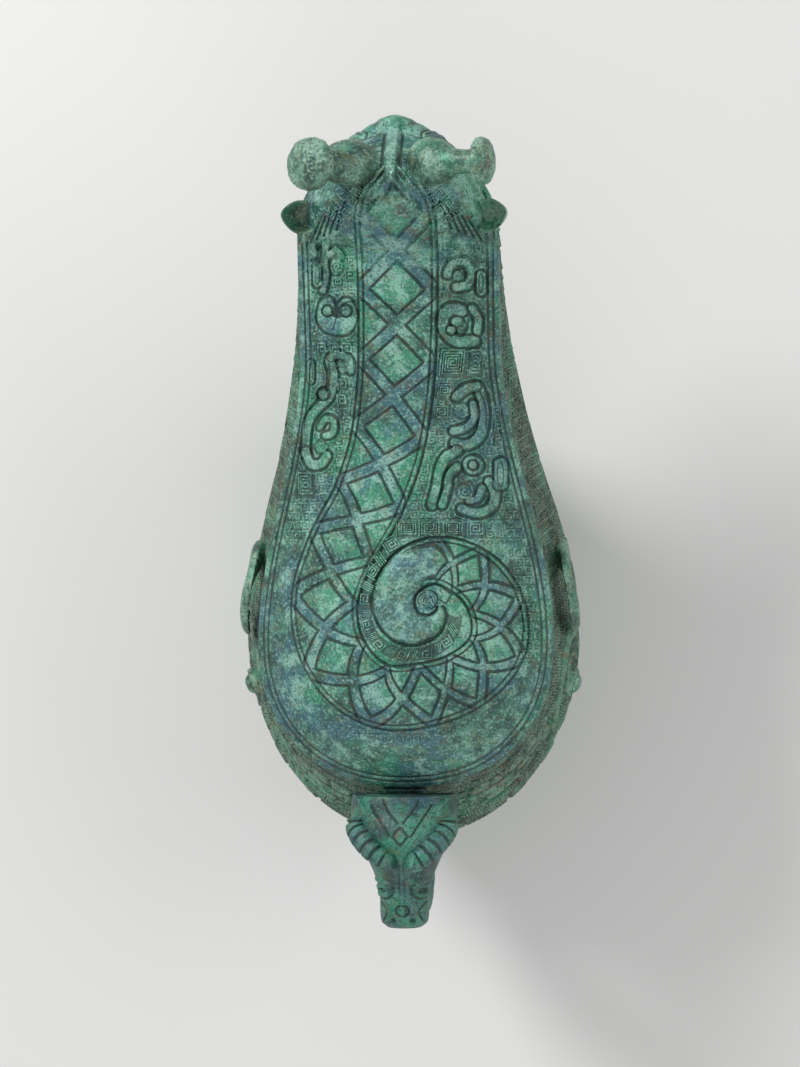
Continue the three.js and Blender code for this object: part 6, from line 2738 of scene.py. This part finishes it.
@dataclass
class LidGround:
    """Where the thunder signs stand on the lid."""

    alone: tuple[tuple[float, float, float, float], ...] = LONE_SIGNS
    rounds: tuple[Triple, ...] = ((498, 529, 17), (426, 601, 23))

    def strew(self) -> Ground:
        """Notes every sign of the lid.

        Returns:
            The signs, ready to be baked.
        """
        ground = Ground(Slot.MALACHITE)
        for x, y, wide, high in self.alone:
            self.put(ground, Sign.SQUARE, (x, y), wide, high)
        for x, y, size in self.rounds:
            self.put(ground, Sign.ROUND, (x, y), size, size)
        self.strip(ground)
        return ground

    def put(self, ground: Ground, sign: Sign, at: Pair, wide: float, high: float) -> None:
        """Notes one sign at a point of the picture, square to it.

        Args:
            ground: that takes the sign.
            sign: which sign.
            at: its middle in the picture.
            wide: its width there.
            high: its height there.
        """
        place = SIGHT.plan([at])[0]
        beside = SIGHT.plan([(at[0] + 1.0, at[1])])[0]
        self.stand(ground, sign, place, beside - place, wide * SIGHT.scale, high * SIGHT.scale)

    @staticmethod
    def stand(ground: Ground, sign: Sign, place: Array, way: Array, wide: float, high: float) -> None:
        """Notes one sign on the vault at a place in plan.

        Args:
            ground: that takes the sign.
            sign: which sign.
            place: its middle in plan.
            way: its x direction in plan.
            wide: its width.
            high: its height.
        """
        x, y = place
        step = 0.4
        dx = (LID.top(x + step, y) - LID.top(x - step, y)) / (2 * step)
        dy = (LID.top(x, y + step) - LID.top(x, y - step)) / (2 * step)
        normal = np.array([-dx, -dy, 1.0])
        point = np.array([x, y, LID.top(x, y)])
        ground.add(sign, point, normal, np.array([way[0], way[1], dx * way[0] + dy * way[1]]), wide, high)

    def strip(self, ground: Ground) -> None:
        """Signs along the strip between the coiled body and its tail.

        Args:
            ground: that takes the signs.
        """
        angle, number = 120.0, 0
        while angle < 335.0:
            near, far = (float(v) for v in STRIP.at(np.array([angle]))[0])
            middle, wide = (near + far) / 2, far - near - 2.6
            turn = math.radians(angle)
            place = DRAGON.centre + middle * np.array([math.cos(turn), math.sin(turn)])
            way = np.array([math.sin(turn), -math.cos(turn)])
            sign = Sign.HATCH if number % 2 else Sign.SQUARE
            length = wide * (0.62 if number % 2 else 0.95)
            self.stand(ground, sign, place, way, length, wide)
            angle += math.degrees((length + wide * 0.98 + 1.0) / 2 / middle) + (1.2 if number % 2 else 1.0)
            number += 1
        for side in (-1.0, 1.0):
            for step in range(6):
                for column in (0, 1):
                    x = side * (7.0 + step * 2.6 + column * 3.0)
                    y = 131.5 - step * 3.2 + column * 2.4
                    self.on_head(ground, x, y, np.array([side * 0.63, -0.78]), 3.7)

    @staticmethod
    def on_head(ground: Ground, x: float, y: float, way: Array, size: float) -> None:
        """Notes one sign on the head.

        Args:
            ground: that takes the sign.
            x: place across.
            y: place along.
            way: its x direction in plan.
            size: its width and height.
        """
        head = DragonHead()
        step = 0.5
        dx = (head.height_at(x + step, y) - head.height_at(x - step, y)) / (2 * step)
        dy = (head.height_at(x, y + step) - head.height_at(x, y - step)) / (2 * step)
        normal = np.array([-dx, -dy, 1.0])
        slope = np.array([way[0], way[1], dx * way[0] + dy * way[1]])
        place = np.array([x, y, head.height_at(x, y)]) + unit(normal) * 0.35
        ground.add(Sign.SQUARE, place, normal, slope, size, size)


@dataclass
class Stage:
    """Floor, lamps, background and the camera over the vessel."""

    sight: Sight = SIGHT
    floor_reach: float = 4.0
    aim: Triple = (0.0, 0.0, 0.12)
    film: float = 24.0

    def build(self) -> None:
        """Makes everything that isn't the object."""
        self.floor()
        self.lamps()
        self.world()
        self.camera()

    def floor(self) -> None:
        """A plain pale floor."""
        mesh = bpy.data.meshes.new("floor")
        reach = self.floor_reach
        corners = [(-reach, -reach, 0), (reach, -reach, 0), (reach, reach, 0), (-reach, reach, 0)]
        mesh.from_pydata(corners, [], [(0, 1, 2, 3)])
        floor = linked("floor", mesh)
        paint = bpy.data.materials.new("pale floor")
        paint.use_nodes = True
        shader = paint.node_tree.nodes["Principled BSDF"]
        shader.inputs["Base Color"].default_value = (0.78, 0.78, 0.77, 1.0)
        shader.inputs["Roughness"].default_value = 0.9
        shader.inputs["Specular IOR Level"].default_value = 0.1
        mesh.materials.append(paint)

    def lamps(self) -> None:
        """A soft key from the upper left, a weaker one from the right and one from the front."""
        for name, place, size, watts in (
            ("key", (-0.9, 0.75, 1.05), 0.55, 15.0),
            ("fill", (1.1, 0.1, 0.9), 1.0, 4.5),
            ("low", (0.1, -1.3, 0.7), 1.0, 4.0),
        ):
            light = bpy.data.lights.new(name, "AREA")
            light.shape = "DISK"
            light.size = size
            light.energy = watts
            lamp = linked(name, light)
            lamp.location = place
            beam = Vector(self.aim) - Vector(place)
            lamp.rotation_euler = beam.to_track_quat("-Z", "Y").to_euler()

    def world(self) -> None:
        """Even soft light, seen as plain white."""
        world = bpy.data.worlds.new("studio")
        bpy.context.scene.world = world
        world.use_nodes = True
        w = Wiring(world.node_tree)
        path = w.node("ShaderNodeLightPath")
        seen = w.math("MAXIMUM", path.outputs["Is Camera Ray"], path.outputs["Is Glossy Ray"])
        seen = w.math("MAXIMUM", seen, path.outputs["Is Transmission Ray"])
        back = world.node_tree.nodes["Background"]
        back.inputs["Color"].default_value = (1.0, 1.0, 1.0, 1.0)
        strength = w.node("ShaderNodeMapRange")
        strength.inputs["To Min"].default_value = 0.42
        strength.inputs["To Max"].default_value = 1.0
        w.join(seen, strength.inputs["Value"])
        w.join(strength.outputs["Result"], back.inputs["Strength"])

    def camera(self) -> None:
        """The camera above, a little to the right, as the photographer stood."""
        lens = bpy.data.cameras.new("camera")
        camera = linked("camera", lens)
        turn = Matrix([list(axis) for axis in self.sight.axes()]).transposed()
        place = Vector(self.sight.place) * MM
        camera.matrix_world = Matrix.Translation(place) @ turn.to_4x4()
        lens.sensor_fit = "VERTICAL"
        lens.sensor_height = self.film
        view = self.sight.scale * self.sight.pixels[1]
        lens.lens = lens.sensor_height * self.sight.distance() / view
        lens.clip_start, lens.clip_end = 0.05, 20.0
        bpy.context.scene.camera = camera


def dress_frame() -> None:
    """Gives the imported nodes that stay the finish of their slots."""
    slots = {s["node"]: Slot(s["material_slot"]) for s in frame["record"]["subparts"]}
    for name, node in frame["nodes"].items():
        node.data.materials.clear()
        node.data.materials.append(FINISHES[slots[name]].material())
        LOG.info("%s keeps its solid", name)


def main() -> None:
    """Builds and dresses the vessel, part by part."""
    logging.basicConfig(level=logging.INFO, format="%(message)s")
    bpy.context.scene.view_settings.view_transform = "Standard"
    Stage().build()
    dress_frame()
    slabs = Lid().build()
    for slab in slabs:
        dress(slab, Body.LID, Slot.MALACHITE, ["lid_shell"] if slab is slabs[0] else [])
    head = DragonHead()
    dress(head.build(), Body.LID, Slot.MALACHITE, ["dragon_head"])
    left, right = (
        BottleHorn(-1.0, 38.4, 30.2, -14.0, cap=9.8, back=2.5, root=(13.0, 135.5)),
        BottleHorn(1.0, 51.5, 29.6, 43.0, neck=4.4, cap=8.7, cap_thickness=7.2, back=1.4, root=(13.5, 135.5)),
    )
    dress(left.build(head), Body.LID, Slot.PALE, ["bottle_horn_left"])
    dress(right.build(head), Body.LID, Slot.PALE, ["bottle_horn_right"])
    for side in (-1.0, 1.0):
        name = hand(side)
        dress(Ear(side).build(), Body.LID, Slot.PALE, [f"dragon_ear_{name}"])
        x, y = side * head.eye[0], head.eye[1]
        eye = Boss(f"eye_{name}", (x, y, head.height_at(x, y) - 0.6), (side * 0.75, 0.35, 0.75), 4.6)
        dress(eye.build(), Body.LID, Slot.PALE, [f"dragon_eye_{name}"])
    dress(LidGround().strew().build("lid_ground"), Body.LID, Slot.MALACHITE)
    vessel = Vessel()
    for number, part in enumerate(vessel.build()):
        dress(part, Body.VESSEL, Slot.EARTHY, ["vessel_wall"] if number == 0 else [])
    dress(vessel.ground().build("wall_ground"), Body.VESSEL, Slot.EARTHY)
    for side in (-1.0, 1.0):
        name = hand(side)
        dress(MaskHorn(side).build(), Body.VESSEL, Slot.PALE, [f"mask_horn_{name}"])
        x, y, z = flank_at(np.array([-62.0]), np.array([84.0]))[0]
        boss = Boss(f"mask_boss_{name}", (side * (x - 0.4), y, z), (side * 0.93, -0.33, 0.1), 6.3, 4.0)
        dress(boss.build(), Body.VESSEL, Slot.PALE, [f"mask_eye_{name}"])
    face = HandleHead()
    for worn, body, slot in (
        (WornNode("foot_ring", lines=foot_lines), Body.VESSEL, Slot.EARTHY),
        (WornNode("spout_flange", 0.6), Body.VESSEL, Slot.EARTHY),
        (WornNode("handle_loop", lines=loop_lines, aside=face.aside), Body.VESSEL, Slot.DARK),
        (WornNode("handle_spur", 0.5, aside=face.aside), Body.VESSEL, Slot.DARK),
        (WornNode("lid_flange", 0.9), Body.LID, Slot.MALACHITE),
    ):
        dress(worn.build(), body, slot, [worn.node])
    dress(face.build(), Body.VESSEL, Slot.DARK, ["handle_head"])
    dress(face.horn(-1.0), Body.VESSEL, Slot.DARK, ["handle_horn_left"])
    dress(face.horn(1.0), Body.VESSEL, Slot.DARK, ["handle_horn_right"])


if __name__ == "__main__":
    main()
